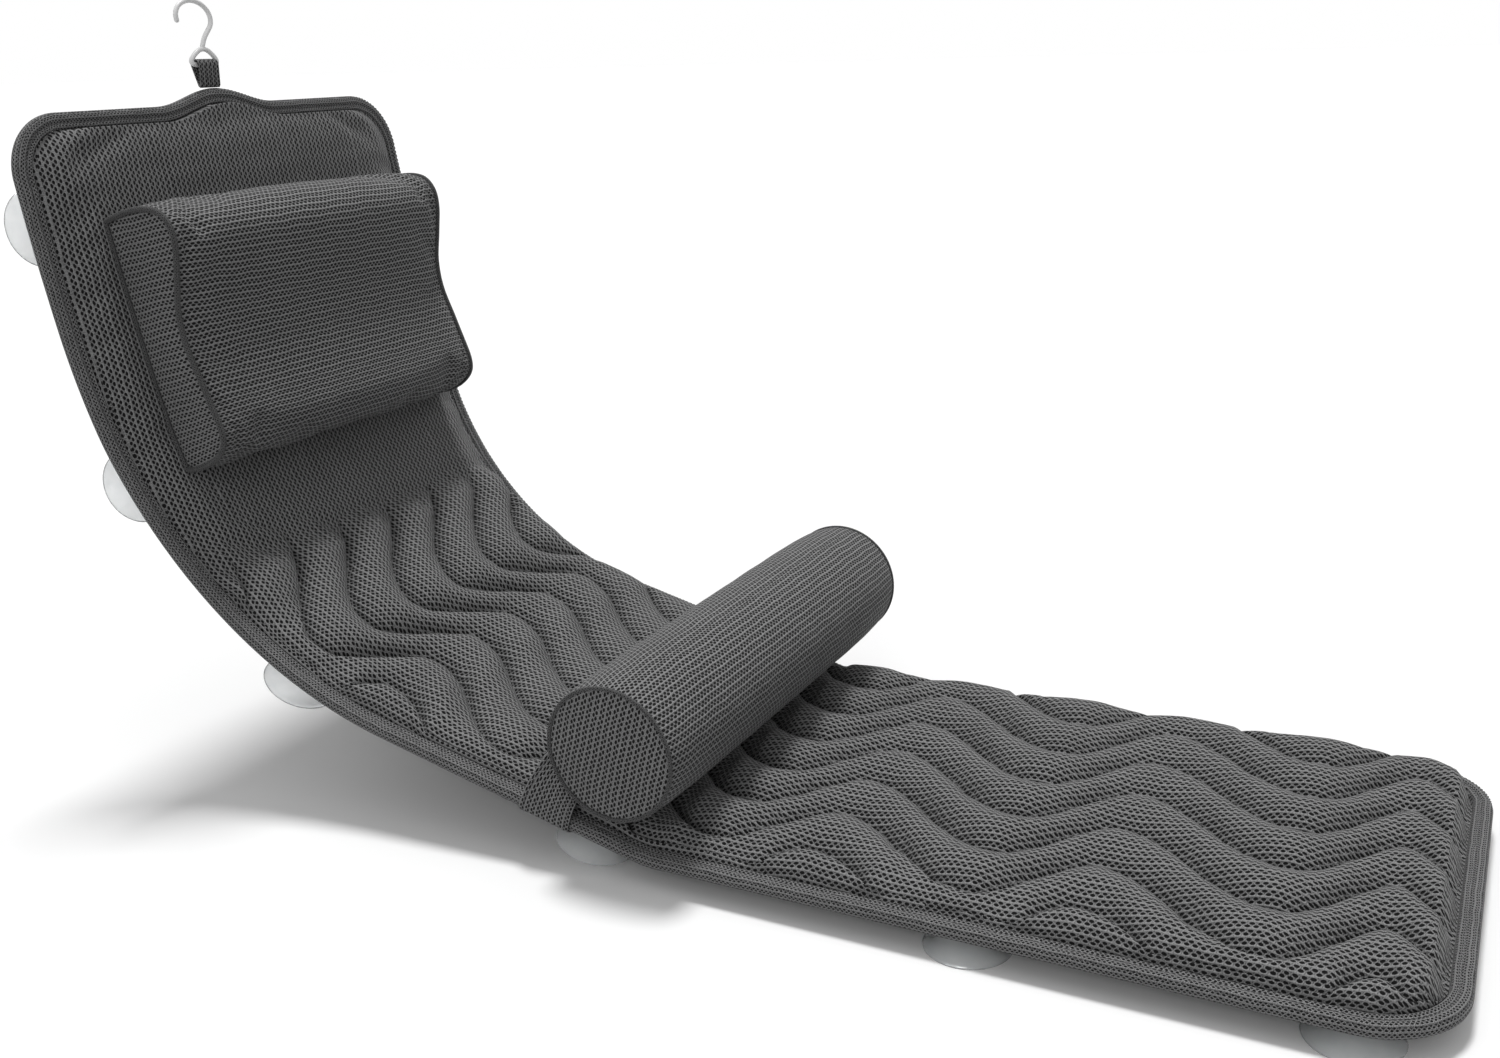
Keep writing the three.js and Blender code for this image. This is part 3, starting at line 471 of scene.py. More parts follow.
# rib pitch and eyelet pitch in millimetres, eyelet size, rib, relief and shade
CLOTHS = {
    "mat air mesh": (5.0, 4.7, 1.2, 1.0, 0.8, 1.0),
    "pillow air mesh": (4.9, 4.3, 1.22, 0.9, 0.8, 1.0),
    "end panel air mesh": (4.9, 4.2, 1.16, 0.42, 0.8, 1.0),
    "backing mesh": (4.2, 3.9, 1.0, 0.4, 0.7, 1.15),
    "binding knit": (3.3, 3.0, 0.74, 0.6, 0.8, 1.05),
    # the piping's shade of 0.6 darkens it as painted shade of the seam groove it lies in
    "piping knit": (2.6, 2.4, 0.5, 0.3, 0.6, 0.6),
    "strap webbing": (4.4, 3.6, 1.02, 0.6, 0.9, 1.0),
}


def plain_finishes():
    """Cloud scale and detail, colour stops, spread of the roughness, bump and other values of each plain finish."""
    hook = bpy.context.scene.bath_cushion_finish.hook_colour
    return {
        "sewing thread": ((1400, 2), ((0.3, (0.03, 0.03, 0.031)), (0.7, (0.09, 0.09, 0.092))), None, None,
                          {"Roughness": 0.7, "Specular IOR Level": 0.3}),
        "white hook plastic": ((60, 3), ((0.3, tuple(c * 0.95 for c in hook)), (0.7, tuple(hook))),
                               (0.3, 0.7, 0.24, 0.36), (420, 0.06, 0.0004),
                               {"Subsurface Weight": 0.1, "Subsurface Radius": (0.004, 0.004, 0.004)}),
        "clear soft plastic": ((120, 2), ((0.2, (0.9, 0.92, 0.93)), (0.8, (0.97, 0.98, 0.98))),
                               (0.35, 0.7, 0.05, 0.16), (260, 0.05, 0.0006),
                               {"Transmission Weight": 0.72, "IOR": 1.38}),
    }


def material_of(name):
    """The object's finishes by name, each made once."""
    if name in bpy.data.materials:
        return bpy.data.materials[name]
    if name in CLOTHS:
        return cloth_material(name, *CLOTHS[name])
    return clouded_material(name, *plain_finishes()[name])


# Geometry Nodes: threads laid along a line

def stitch_tree():
    """Round-ended thread bars set along every edge line of a mesh, turned to follow it."""
    name = "Stitch line"
    if name in bpy.data.node_groups:
        return bpy.data.node_groups[name]
    tree = bpy.data.node_groups.new(name, "GeometryNodeTree")
    face = tree.interface
    face.new_socket("Geometry", in_out="INPUT", socket_type="NodeSocketGeometry")
    for label, value in (("Pitch", 0.004), ("Bar", 0.0028), ("Thread", 0.0005)):
        socket = face.new_socket(label, in_out="INPUT", socket_type="NodeSocketFloat")
        socket.default_value, socket.min_value, socket.subtype = value, 0.0, "DISTANCE"
    face.new_socket("Seed", in_out="INPUT", socket_type="NodeSocketInt").default_value = 7
    face.new_socket("Material", in_out="INPUT", socket_type="NodeSocketMaterial")
    face.new_socket("Geometry", in_out="OUTPUT", socket_type="NodeSocketGeometry")
    net = Net(tree)
    inputs = net.node("NodeGroupInput", out=None).outputs
    line = net.node("GeometryNodeMeshToCurve", {"Mesh": inputs[0]})
    points = net.node("GeometryNodeResampleCurve", {"Curve": line, "Length": inputs[1]}, mode="LENGTH")
    along = net.node("GeometryNodeInputTangent")
    turn = net.node("FunctionNodeAlignRotationToVector", {"Vector": along}, axis="X")
    wobble = net.node("FunctionNodeRandomValue", {0: (0, 0, -0.12), 1: (0, 0, 0.12), "Seed": inputs[4]},
                      data_type="FLOAT_VECTOR")
    turn = net.node("FunctionNodeRotateRotation", {0: turn, 1: wobble}, rotation_space="LOCAL")
    ball = net.node("GeometryNodeMeshUVSphere", {"Segments": 6, "Rings": 5, "Radius": 0.5})
    shape = net.node("ShaderNodeCombineXYZ", {0: inputs[2], 1: inputs[3], 2: inputs[3]})
    bars = net.node("GeometryNodeInstanceOnPoints", {"Points": points, "Instance": ball, "Rotation": turn,
                                                     "Scale": shape})
    real = net.node("GeometryNodeRealizeInstances", {0: bars})
    soft = net.node("GeometryNodeSetShadeSmooth", {0: real})
    done = net.node("GeometryNodeSetMaterial", {"Geometry": soft, "Material": inputs[5]})
    net.node("NodeGroupOutput", {0: done}, out=None)
    return tree


SEAM_LIFT = 0.5
# pitch, length and thickness of the threads in millimetres; the seams' pitch is a property
SEAM_THREAD, BINDING_STITCH, STRAP_STITCH = (3.0, 0.8), (3.6, 2.6, 0.7), (3.4, 2.4, 0.7)


def stitches(name, lines, pitch, bar, thread):
    """Threads along lines of points in metres, as one plain mesh."""
    points, edges = [], []
    for line in lines:
        first = len(points)
        points.extend(line.tolist())
        edges.extend((first + k, first + k + 1) for k in range(len(line) - 1))
    obj = new_mesh(name, points, [], edges=edges)
    modifier = obj.modifiers.new("Stitches", "NODES")
    modifier.node_group = stitch_tree()
    values = {"Pitch": pitch * MM, "Bar": bar * MM, "Thread": thread * MM, "Seed": 7,
              "Material": material_of("sewing thread")}
    for item in modifier.node_group.interface.items_tree:
        if item.in_out == "INPUT" and item.name in values:
            modifier[item.identifier] = values[item.name]
    apply_modifiers(obj)
    if not obj.data.polygons:
        raise RuntimeError(f"{name} has no stitches")
    return obj


# Quilted mat

def wave(s):
    turns = (np.asarray(s, float) - WAVE_START) / (bpy.context.scene.bath_cushion_mat.wave_length / MM)
    share = turns - np.floor(turns)
    return np.where(share < WAVE_RISE, -np.cos(np.pi * share / WAVE_RISE),
                    np.cos(np.pi * (share - WAVE_RISE) / (1 - WAVE_RISE)))


def border(k, s):
    """The x of a channel border: the rim for the first and last, a waved seam between them.

    A seam runs along the rim where its wave would pass it.
    """
    sizes = bpy.context.scene.bath_cushion_mat
    pitch, reach = sizes.channel_pitch / MM, sizes.wave_reach / MM
    half = half_width(s, RIM_INSET)
    spread = (side_width(s) - RIM_INSET) / (LEG_WIDTH / 2 - RIM_INSET)
    fade = smooth(0, 40, s - RIM_INSET) * (1 - smooth(QUILT_END, QUILT_END + 40, s))
    seam = (k - (SEAMS + 1) / 2) * pitch * spread ** 2 + SEAM_SHIFT + reach * fade * wave(s)
    seam = np.clip(seam, SEAM_RIM_GAP - half, half - SEAM_RIM_GAP)
    return np.where(k == 0, -half, np.where(k == SEAMS + 1, half, seam))


def bearing(s):
    """1 where the bolster may lie on the mat, fading to 0 beside it."""
    return smooth(478, 512, s) * (1 - smooth(668, 702, s))


def quilt_level(k, share, s):
    sizes = bpy.context.scene.bath_cushion_mat
    pitch, step = sizes.channel_pitch / MM, 8.7
    crest = mix(sizes.quilt_crest / MM, BEARING_LEVEL, bearing(s))
    slope = sizes.wave_reach / MM * (wave(s + step) - wave(s - step)) / (2 * step)
    left, right = border(k, s), border(k + 1, s)
    x = mix(left, right, share)
    inside = half_width(s, RIM_INSET) - np.abs(x)
    plain = mix(RIM_LEVEL, PLAIN_LEVEL, smooth(0, pitch / 2, inside))
    width = (right - left) / np.hypot(1, slope)
    # the puffs are drawn in a little where they are stitched, at uneven places along each seam
    nearest = np.where(share < 0.5, k, k + 1)
    tuck = 1 - 0.05 * ripple((s + 31 * nearest, 23, 0.7 * nearest), (s, 9.7, 2.1 * nearest))
    puff = np.clip(width / pitch, 0, 1) ** 0.35 * (1 - (2 * share - 1) ** 2) ** (0.5 * tuck)
    low = mix(np.where(k == 0, RIM_LEVEL, SEAM_LEVEL), np.where(k == SEAMS, RIM_LEVEL, SEAM_LEVEL), share)
    quilted = low + (crest - low) * puff * smooth(0, 12, s - RIM_INSET)
    ease = smooth(QUILT_END - QUILT_FADE, QUILT_END, s + 4 * ripple((x, 40, 0.4), (x, 17, 2)))
    return x, mix(quilted, plain, ease)


def corner_rows(radius, count):
    return radius - (radius - RIM_INSET) * np.cos(np.linspace(0, 1, count) * np.pi / 2)


def mat_rows():
    step = 3.3
    foot, head = corner_rows(FOOT_CORNER, 15), MAT_LENGTH - corner_rows(HEAD_CORNER, 12)[::-1]
    middle = np.linspace(foot[-1], head[0], int(round((head[0] - foot[-1]) / step)) + 1)
    return np.concatenate([foot, middle[1:-1], head])


def with_hump(x, s):
    """Carries the rows near the head edge out into its hump."""
    return s + hump(x) * smooth(MAT_LENGTH - 60, MAT_LENGTH - RIM_INSET, s)


def quilt_grid():
    """x, s and level of every point of the quilted cover, and the channel and share in it of each column."""
    even = np.linspace(0, 1, 17)[:-1]
    shares = mix((1 - np.cos(even * np.pi)) / 2, even, 0.45)
    k = np.append(np.repeat(np.arange(SEAMS + 1), len(shares)), SEAMS)
    share = np.append(np.tile(shares, SEAMS + 1), 1.0)
    s = np.repeat(mat_rows()[:, None], len(k), 1)
    x, level = quilt_level(k[None, :], share[None, :], s)
    rim = (k == 0) & (share == 0) | (k == SEAMS) & (share == 1)
    level = np.where(rim[None, :], RIM_LEVEL, level)
    level[0], level[-1] = RIM_LEVEL, RIM_LEVEL
    uneven = ripple((x + 0.4 * s, 37, 1), (s - 0.3 * x, 29, 2), (x, 13, 0.3), (s, 17, 5))
    level = level + 0.35 * uneven * smooth(0, 12, half_width(s, RIM_INSET) - np.abs(x))
    return x, with_hump(x, s), level, share


def puff_cloth(x, s, level, ci, cj):
    """Cloth places of the quilt's corners: the ribs run along the crest of each puff, evenly over its surface."""
    per = (x.shape[1] - 1) // (SEAMS + 1)
    start, end = x.copy(), x.copy()
    for first in range(0, x.shape[1] - 1, per):
        block = slice(first, first + per + 1)
        run = np.cumsum(np.hypot(np.diff(x[:, block]), np.diff(level[:, block])), axis=1)
        run = np.concatenate([np.zeros((len(x), 1)), run], 1) - run[:, -1:] / 2
        over = (x[:, first:first + 1] + x[:, first + per:first + per + 1]) / 2 + run
        start[:, first:first + per], end[:, first + 1:first + per + 1] = over[:, :-1], over[:, 1:]
    return np.stack([np.where(cj == cj[:, :1], start[ci, cj], end[ci, cj]), s[ci, cj]], -1).reshape(-1, 2) * MM


def build_mat():
    """The quilted cover with its closed underside, and how firmly each of its points is held."""
    x, s, level, share = quilt_grid()
    top, under = place(x, s, level), place(x, s, np.full_like(x, QUILT_UNDERSIDE))
    rows, cols = x.shape
    faces, ci, cj = grid_faces(rows, cols)
    below = [[(i, j) for j in (range(cols) if i in (0, 1, rows - 2, rows - 1) else (0, cols - 1))]
             for i in range(rows)]
    index = {at: rows * cols + order for order, at in enumerate(at for row in below for at in row)}
    face_list = faces.tolist()
    for low, high in zip(below, below[1:]):
        low, high = [index[at] for at in low], [index[at] for at in high]
        if len(low) == len(high) == cols:
            face_list.extend([low[j], high[j], high[j + 1], low[j + 1]] for j in range(cols - 1))
        else:
            face_list.append([*high, *low[::-1]])
    face_list.extend([index[here], index[after], after[0] * cols + after[1], here[0] * cols + here[1]]
                     for here, after in rim_pairs(rows, cols))
    points = np.concatenate([top.reshape(-1, 3), [under[at] for at in index]])
    flat = np.concatenate([np.stack([x.ravel(), s.ravel()], -1), [[x[at], s[at]] for at in index]]) * MM
    flat = np.concatenate([puff_cloth(x, s, level, ci, cj), by_corner(flat, face_list[len(faces):])])
    obj = closed_mesh("quilted_mat", points, face_list, flat, material_of("mat air mesh"))
    held = np.ones(len(points))
    seam = np.abs(share - np.round(share)) < 1e-6
    pinned = seam & (s < QUILT_END - 4) | (s < RIM_INSET + 2) | (s > MAT_LENGTH - RIM_INSET - 3)
    pinned[:, [0, -1]] = True
    held[:rows * cols] = np.where(pinned, 1.0, 0.9 * bearing(s)).ravel()
    return obj, held


def bend_at_hip(obj):
    start, end = (tuple(float(v) for v in place(0.0, s, 0.0)) for s in HIP)
    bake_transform(obj)
    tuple(start)
    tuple(end)


def build_backing():
    """A thin even sheet under the padding."""
    s = mat_rows()
    s = s[::2] if len(s) % 2 else np.append(s[::2], s[-1])
    cross = np.linspace(-1, 1, 49)
    s = np.repeat(s[:, None], len(cross), 1)
    x = half_width(s, RIM_INSET) * cross
    s = with_hump(x, s)
    sag = 0.25 * ripple((x, 61, 1), (s, 83, 2), (x + s, 31, 0)) * (1 - cross ** 8)
    sheets = [place(x, s, level).reshape(-1, 3) for level in (np.full_like(x, 1.6), 0.3 + sag)]
    rows, cols = x.shape
    size = rows * cols
    faces = [*grid_faces(rows, cols)[0].tolist(), *grid_faces(rows, cols, start=size)[0][:, ::-1].tolist()]
    for here, after in rim_pairs(rows, cols):
        here, after = here[0] * cols + here[1], after[0] * cols + after[1]
        faces.append([here + size, after + size, after, here])
    flat = np.tile(np.stack([x.ravel(), s.ravel()], -1), (2, 1)) * MM
    return closed_mesh("mat_backing", np.concatenate(sheets), faces, by_corner(flat, faces),
                       material_of("backing mesh"))


def seam_lines(lift):
    """Lines of points in the bottoms of the seams."""
    s = np.arange(22.0, QUILT_END - 8, 3.0)
    return [place(border(np.full_like(s, k), s), s, np.full_like(s, SEAM_LEVEL + lift)) for k in range(1, SEAMS + 1)]


# Edge binding

def rim_path():
    """Inner and outer [x, s] points round the mat, from the middle of the foot edge."""
    foot_x, head_x = LEG_WIDTH / 2 - FOOT_CORNER, HEAD_WIDTH / 2 - HEAD_CORNER
    head_s = MAT_LENGTH - HEAD_CORNER

    def arc(radius, x, s, start, end, count):
        return [[[x + r * math.cos(turn), s + r * math.sin(turn)] for r in (radius - BINDING_WIDTH, radius)]
                for turn in np.linspace(start, end, count + 1)[1:-1]]

    def side(sign, places):
        halves = [float(side_width(s)) for s in places]
        return [[[sign * (half - BINDING_WIDTH), s], [sign * half, s]] for half, s in zip(halves, places)]

    sides = np.linspace(FOOT_CORNER, head_s, 260)
    edge = [(x, MAT_LENGTH + float(hump(x))) for x in np.linspace(head_x, -head_x, 90)]
    return np.array([
        *([[x, BINDING_WIDTH], [x, 0]] for x in np.linspace(-foot_x, foot_x, 48)),
        *arc(FOOT_CORNER, foot_x, FOOT_CORNER, -math.pi / 2, 0, 26), *side(1, sides),
        *arc(HEAD_CORNER, head_x, head_s, 0, math.pi / 2, 20), *([[x, s - BINDING_WIDTH], [x, s]] for x, s in edge),
        *arc(HEAD_CORNER, -head_x, head_s, math.pi / 2, math.pi, 20), *side(-1, sides[::-1]),
        *arc(FOOT_CORNER, -foot_x, FOOT_CORNER, math.pi, 1.5 * math.pi, 26),
    ])


BINDING_SECTION = (
    (0, 0.3), (-0.01, 2.4), (-0.015, 5), (0, 7.4), (0.03, 8.6), (0.09, 9.4), (0.17, 9.8), (0.25, 9.6), (0.31, 9.0),
    (0.36, 8.5), (0.42, 8.6), (0.5, 9.2), (0.6, 9.6), (0.7, 9.4), (0.8, 8.9), (0.89, 8.0), (0.955, 6.6),
    (1.0, 4.6), (0.99, 2.9), (0.94, 1.3), (0.85, 0.4), (0.72, 0), (0.4, 0),
)


def build_binding():
    path = rim_path()
    section = np.array(BINDING_SECTION)
    inner, outer = path[:, 0], path[:, 1]
    run = run_round(outer)
    across, level = section.T
    flat = inner[:, None] + (outer - inner)[:, None] * across[None, :, None]
    pull = 0.25 * ripple((run[:-1], 11, 0), (run[:-1], 29, 1), (run[:-1], 61, 4))
    level = level[None, :] + pull[:, None] * smooth(5, 8, level)[None, :]
    around = run_round(section * [BINDING_WIDTH, 1])
    return grid_object("edge_binding", place(flat[..., 0], flat[..., 1], level),
                       lambda i, j: (around[j] * MM, run[i] * MM), material_of("binding knit")), path


def binding_lines(path):
    inner, outer = path[:, 0], path[:, 1]
    lines = []
    for across, level in ((0.372, 8.75), (0.9, 8.1)):
        flat = inner + (outer - inner) * across
        flat = np.concatenate([flat, flat[:1]])
        lines.append(place(flat[:, 0], flat[:, 1], np.full(len(flat), level)))
    return lines


# Headrest

HEADREST = {"start": 975, "length": 201, "height": 66, "width": 300, "floor": 17.3, "crown": 3, "wall": 4.7}
HEADREST_OUTLINE = (
    (0.02, 0), (0, 0.22), (0, 0.5), (0.035, 0.71), (0.1, 0.795), (0.2, 0.8), (0.34, 0.76), (0.48, 0.71), (0.6, 0.75),
    (0.72, 0.88), (0.83, 0.985), (0.91, 0.985), (0.972, 0.86), (1, 0.6), (1, 0.28), (0.985, 0),
)


def headrest_outline(count):
    """The contour as [s, n] points, evenly spaced round it, from the foot side over the top and back underneath."""
    shape = HEADREST
    knots = np.array(HEADREST_OUTLINE) * [shape["length"], shape["height"]] + [shape["start"], shape["floor"]]
    ring = np.vstack([catmull_rom(np.vstack([knots[0], knots, knots[-1]]), 24), knots[-1:]])
    run = run_round(ring)
    even = np.linspace(0, run[-1], count, endpoint=False)
    return np.stack([np.interp(even, run, axis) for axis in np.vstack([ring, ring[:1]]).T], -1), run[-1]


def drawn(ring, reach):
    """Moves a clockwise ring of points outward by reach, which may differ from point to point."""
    along = unit(np.roll(ring, -1, 0) - np.roll(ring, 1, 0))
    out = np.stack([-along[:, 1], along[:, 0]], -1)
    return ring + out * np.broadcast_to(reach, len(ring))[:, None]


def headrest_cover():
    """Points of the cover, how firmly each is held, its girth and the run along it in metres."""
    ring, girth = headrest_outline(160)
    shares = stations(73)
    free = smooth(0, HEADREST["height"] / 2, ring[:, 1] - HEADREST["floor"])
    rings = np.array([drawn(ring, HEADREST["crown"] * (1 - share ** 2) * free - 1.6 * abs(share) ** 9)
                      for share in shares])
    x = shares * (HEADREST["width"] / 2 - 3.6)
    low = 1 - smooth(0, 5, rings[..., 1] - HEADREST["floor"])
    held = np.maximum(low, smooth(0.965, 1, np.abs(shares))[:, None])
    return place(x[:, None], rings[..., 0], rings[..., 1]), held, girth * MM, x * MM


END_SHARES = np.array([1.0, 0.985, 0.95, 0.88, 0.78, 0.65, 0.5, 0.34, 0.18])


def end_disc(name, to_frame, outer, centre, side_x, side, bulge):
    """A soft end panel: rings of [s, n] points shrinking to a centre, bulging along x, closed behind."""
    rings = centre + (outer - centre) * END_SHARES[:, None, None]
    xs = np.array([side * (side_x + bulge * (1 - share ** 2) ** 0.6
                           + 0.35 * (1 - share) * ripple((s, 31, 1), (n, 23, 2), (s + n, 14, 0)))
                   for share, (s, n) in zip(END_SHARES, rings.transpose(0, 2, 1))])
    points = to_frame(xs, rings[..., 0], rings[..., 1])
    rows, cols = points.shape[:2]
    base = rows * cols
    faces = grid_faces(rows, cols, close_cols=True)[0].tolist()
    faces.append([base - cols + j for j in range(cols)][::-1])
    faces.extend([j, (j + 1) % cols, base + (j + 1) % cols, base + j] for j in range(cols))
    faces.append([base + j for j in range(cols)])
    back = points[0] - [side * PANEL_DEPTH * MM, 0, 0]
    flat = np.concatenate([rings.reshape(-1, 2), centre + (rings[0] - centre) * 1.05]) * MM
    return closed_mesh(name, np.concatenate([points.reshape(-1, 3), back]), faces, by_corner(flat, faces),
                       material_of("end panel air mesh"))


def tube(name, path, radius):
    """A closed round cord along a closed line of points in metres."""
    along = unit(np.roll(path, -1, 0) - np.roll(path, 1, 0))
    across = np.array([1.0, 0, 0])
    out = unit(np.cross(along, across))
    turn = circle(CORD_SIDES)
    points = path[:, None] + radius * MM * (
        np.cos(turn)[None, :, None] * out[:, None] + np.sin(turn)[None, :, None] * across)
    run = run_round(path)
    return grid_object(name, points, lambda i, j: (j * 2 * np.pi * radius * MM / CORD_SIDES, run[i]),
                       material_of("piping knit"))


def pillow_trim(name, to_frame, middle, centre, line, line_x, cord, panel, panel_x, bulge):
    """The piping and the end panel at both ends of a pillow whose middle is at that x, by node."""
    pieces = {}
    for side, end in ((-1, "near"), (1, "far")):
        x = np.full(len(line), middle + side * line_x)
        pieces[f"{name}_piping_{end}"] = tube(f"{name}_piping_{end}_cord", to_frame(x, *line.T), cord)
        pieces[f"{name}_end_{end}"] = end_disc(
            f"{name}_end_{end}_panel", to_frame, panel, centre, panel_x + side * middle, side, bulge)
    return pieces


def headrest_trim():
    shape = HEADREST
    centre = np.array([shape["start"] + shape["length"] / 2, shape["floor"] + shape["height"] * 0.42])
    return pillow_trim("headrest", place, 0, centre, drawn(headrest_outline(200)[0], -1.9), shape["width"] / 2 - 2.2,
                       2.2, drawn(headrest_outline(120)[0], -3.2), shape["width"] / 2 - 3.4, 3.0)


# Bolster

def bolster_radius(share):
    sizes = bpy.context.scene.bath_cushion_pillows
    return sizes.bolster_radius / MM - 2.4 * np.abs(share) ** 6


def bolster_ring(radius, count):
    turn = circle(count)
    return np.stack([BOLSTER_PLACE + radius * np.sin(turn), BOLSTER_LEVEL + radius * np.cos(turn)], -1)


def bolster_cover():
    """Points of the cover, how firmly each is held, its girth and the run along it in metres."""
    sizes = bpy.context.scene.bath_cushion_pillows
    half = sizes.bolster_length / MM / 2 - 2.0
    shares = stations(97)
    share_grid, turn = np.meshgrid(shares, circle(128), indexing="ij")
    radius = bolster_radius(share_grid) - 1.5 * np.abs(share_grid) ** 24
    radius = radius + 0.25 * ripple((share_grid * half, 61, 1), (turn * 50, 63, 2),
                                    (share_grid * half + turn * 50, 41, 3))
    s, n = BOLSTER_PLACE + radius * np.sin(turn), BOLSTER_LEVEL + radius * np.cos(turn)
    # flat where it lies on the mat
    n = np.maximum(n, BOLSTER_REST + 0.3 * smooth(0, 12, np.abs(s - BOLSTER_PLACE)))
    held = np.maximum(smooth(0.965, 1, np.abs(share_grid)), 1 - smooth(24, 32, n))
    return (on_ramp(BOLSTER_MIDDLE + share_grid * half, s, n), held, 2 * np.pi * sizes.bolster_radius,
            shares * half * MM)


def bolster_trim():
    half = bpy.context.scene.bath_cushion_pillows.bolster_length / MM / 2
    seam = float(bolster_radius(1.0)) - 1.5
    return pillow_trim("bolster", on_ramp, BOLSTER_MIDDLE, np.array([BOLSTER_PLACE, BOLSTER_LEVEL], float),
                       bolster_ring(seam, 160), half - 1.5, 1.4, bolster_ring(seam - 0.9, 96), half - 1.9, 1.9)


# Strap under the bolster and round the mat

def rounded_loop(points, rounds=3):
    """Cuts the corners of a closed line again and again."""
    for _ in range(rounds):
        after = np.roll(points, -1, 0)
        points = np.stack([mix(points, after, 0.25), mix(points, after, 0.75)], 1).reshape(-1, points.shape[1])
    return points


def strap_line(share, out):
    """One lengthwise line of the strap on its outer or inner face, as (x, s, n); share is its place across."""
    radius, lead, clear, inset = 49.8, math.radians(24), 0.3, 13
    width, thick = STRAP_WIDTH, STRAP_THICK
    spread = width / (radius + clear + thick / 2)
    reach_line = (radius + clear) / math.cos(spread / 8)
    seat, edge = BOLSTER_PLACE + reach_line * math.sin(lead), LEG_WIDTH / 2 + 0.9
    turn = lead + share * spread
    reach = reach_line + (0 if out else thick)
    on = (BOLSTER_PLACE + reach * math.sin(turn), BOLSTER_LEVEL - reach * math.cos(turn))
    low, o = seat + share * width, thick if out else 0
    down = lambda part, to: (mix(on[0], low, part), mix(on[1], to, part))
    right = [
        (0, *on), ((edge - inset) / 2, *on), (edge - inset - 8, *on), (edge - inset, *on),
        (edge - inset / 2 + o / 2, *down(0.35, 22 + o)), (edge - thick + o, *down(0.8, 11.4 + o)),
        (edge + o, low, 6), (edge + o, low, 4), (edge + o, low, 1.9), (edge - 3.8 + o / 2, low, -clear - o),
        (edge - 14, low, -clear - o), ((edge - inset) / 2, low, -clear - o), (0, low, -clear - o),
    ]
    left = [(-x, s, n) for x, s, n in right[-2:0:-1]]
    return rounded_loop(np.array([*right, *left], float), 2)


def build_strap():
    """The strap, and the lines of its two rows of stitches."""
    shares = [0, 0.06, 0.25, 0.5, 0.75, 0.94, 1]
    points = np.stack([strap_line(share, True) for share in shares]
                      + [strap_line(share, False) for share in shares[::-1]], 1)
    run = run_round(points[:, 3])
    past = STRAP_WIDTH + STRAP_THICK
    width = [*(share * STRAP_WIDTH for share in shares), *(past + (1 - share) * STRAP_WIDTH for share in shares[::-1])]
    width = np.array([*width, 2 * past])
    obj = grid_object("bolster_strap_web", on_ramp(*np.moveaxis(points, -1, 0)),
                      lambda i, j: (width[j] * MM, run[i] * MM), material_of("strap webbing"))
    lines = [strap_line(share, True) for share in (0.09, 0.91)]
    return obj, [on_ramp(*np.concatenate([line, line[:1]]).T) for line in lines]


# Hanging loop and hook, drawn in the plane of the head end

LOOP_AXIS, LOOP_HEIGHT, LOOP_WIDTH, LOOP_THICK, LOOP_INNER = MAT_LENGTH + 13.8, 20.4, 20.5, 1.5, 6
WIRE_RADIUS, EYE_GAP = 1.9, 1.5
BAR_LEVEL = LOOP_AXIS + LOOP_HEIGHT - LOOP_THICK - EYE_GAP - WIRE_RADIUS


def head_frame(points):
    """Maps (s, n, x) drawings into the plane of the head end."""
    angle = float(spine(MAT_LENGTH)[2])
    origin = place(-3.0, float(MAT_LENGTH), BINDING_HEIGHT / 2)
    points = np.asarray(points, float)
    along = np.array([0, math.cos(angle), math.sin(angle)])
    out = np.array([0, -math.sin(angle), math.cos(angle)])
    across = np.array([1.0, 0, 0])
    return origin + MM * ((points[..., 0:1] - MAT_LENGTH) * along + points[..., 1:2] * out + points[..., 2:3] * across)


def build_loop():
    inner_half = LOOP_INNER / 2
    outer_half = inner_half + LOOP_THICK
    crown = LOOP_AXIS + LOOP_HEIGHT - outer_half
    arc = [[(crown + r * math.sin(t), r * math.cos(t)) for r in (outer_half, inner_half)]
           for t in np.linspace(0, math.pi, 17)]
    leg = lambda side: [(LOOP_AXIS, side * LOOP_THICK), (LOOP_AXIS + outer_half, side * inner_half / 2)]
    root = [(LOOP_AXIS - LOOP_THICK, 0), (LOOP_AXIS + 1.6 * LOOP_THICK, 0)]
    across = np.array([-1, -0.94, -0.5, 0, 0.5, 0.94, 1]) * LOOP_WIDTH / 2
    points = np.array([[(*outer, x) for x in across] + [(*inner, x) for x in across[::-1]]
                       for outer, inner in [*arc, leg(-1), root, leg(1)]])
    run = run_round(points[:, 3])
    half, past = LOOP_WIDTH / 2, LOOP_WIDTH / 2 + LOOP_THICK + LOOP_WIDTH
    width = np.array([*(across + half), *(past - across[::-1]), 2 * (LOOP_WIDTH + LOOP_THICK)])
    return grid_object("hanging_loop_web", head_frame(points), lambda i, j: (width[j] * MM, run[i] * MM),
                       material_of("strap webbing"))


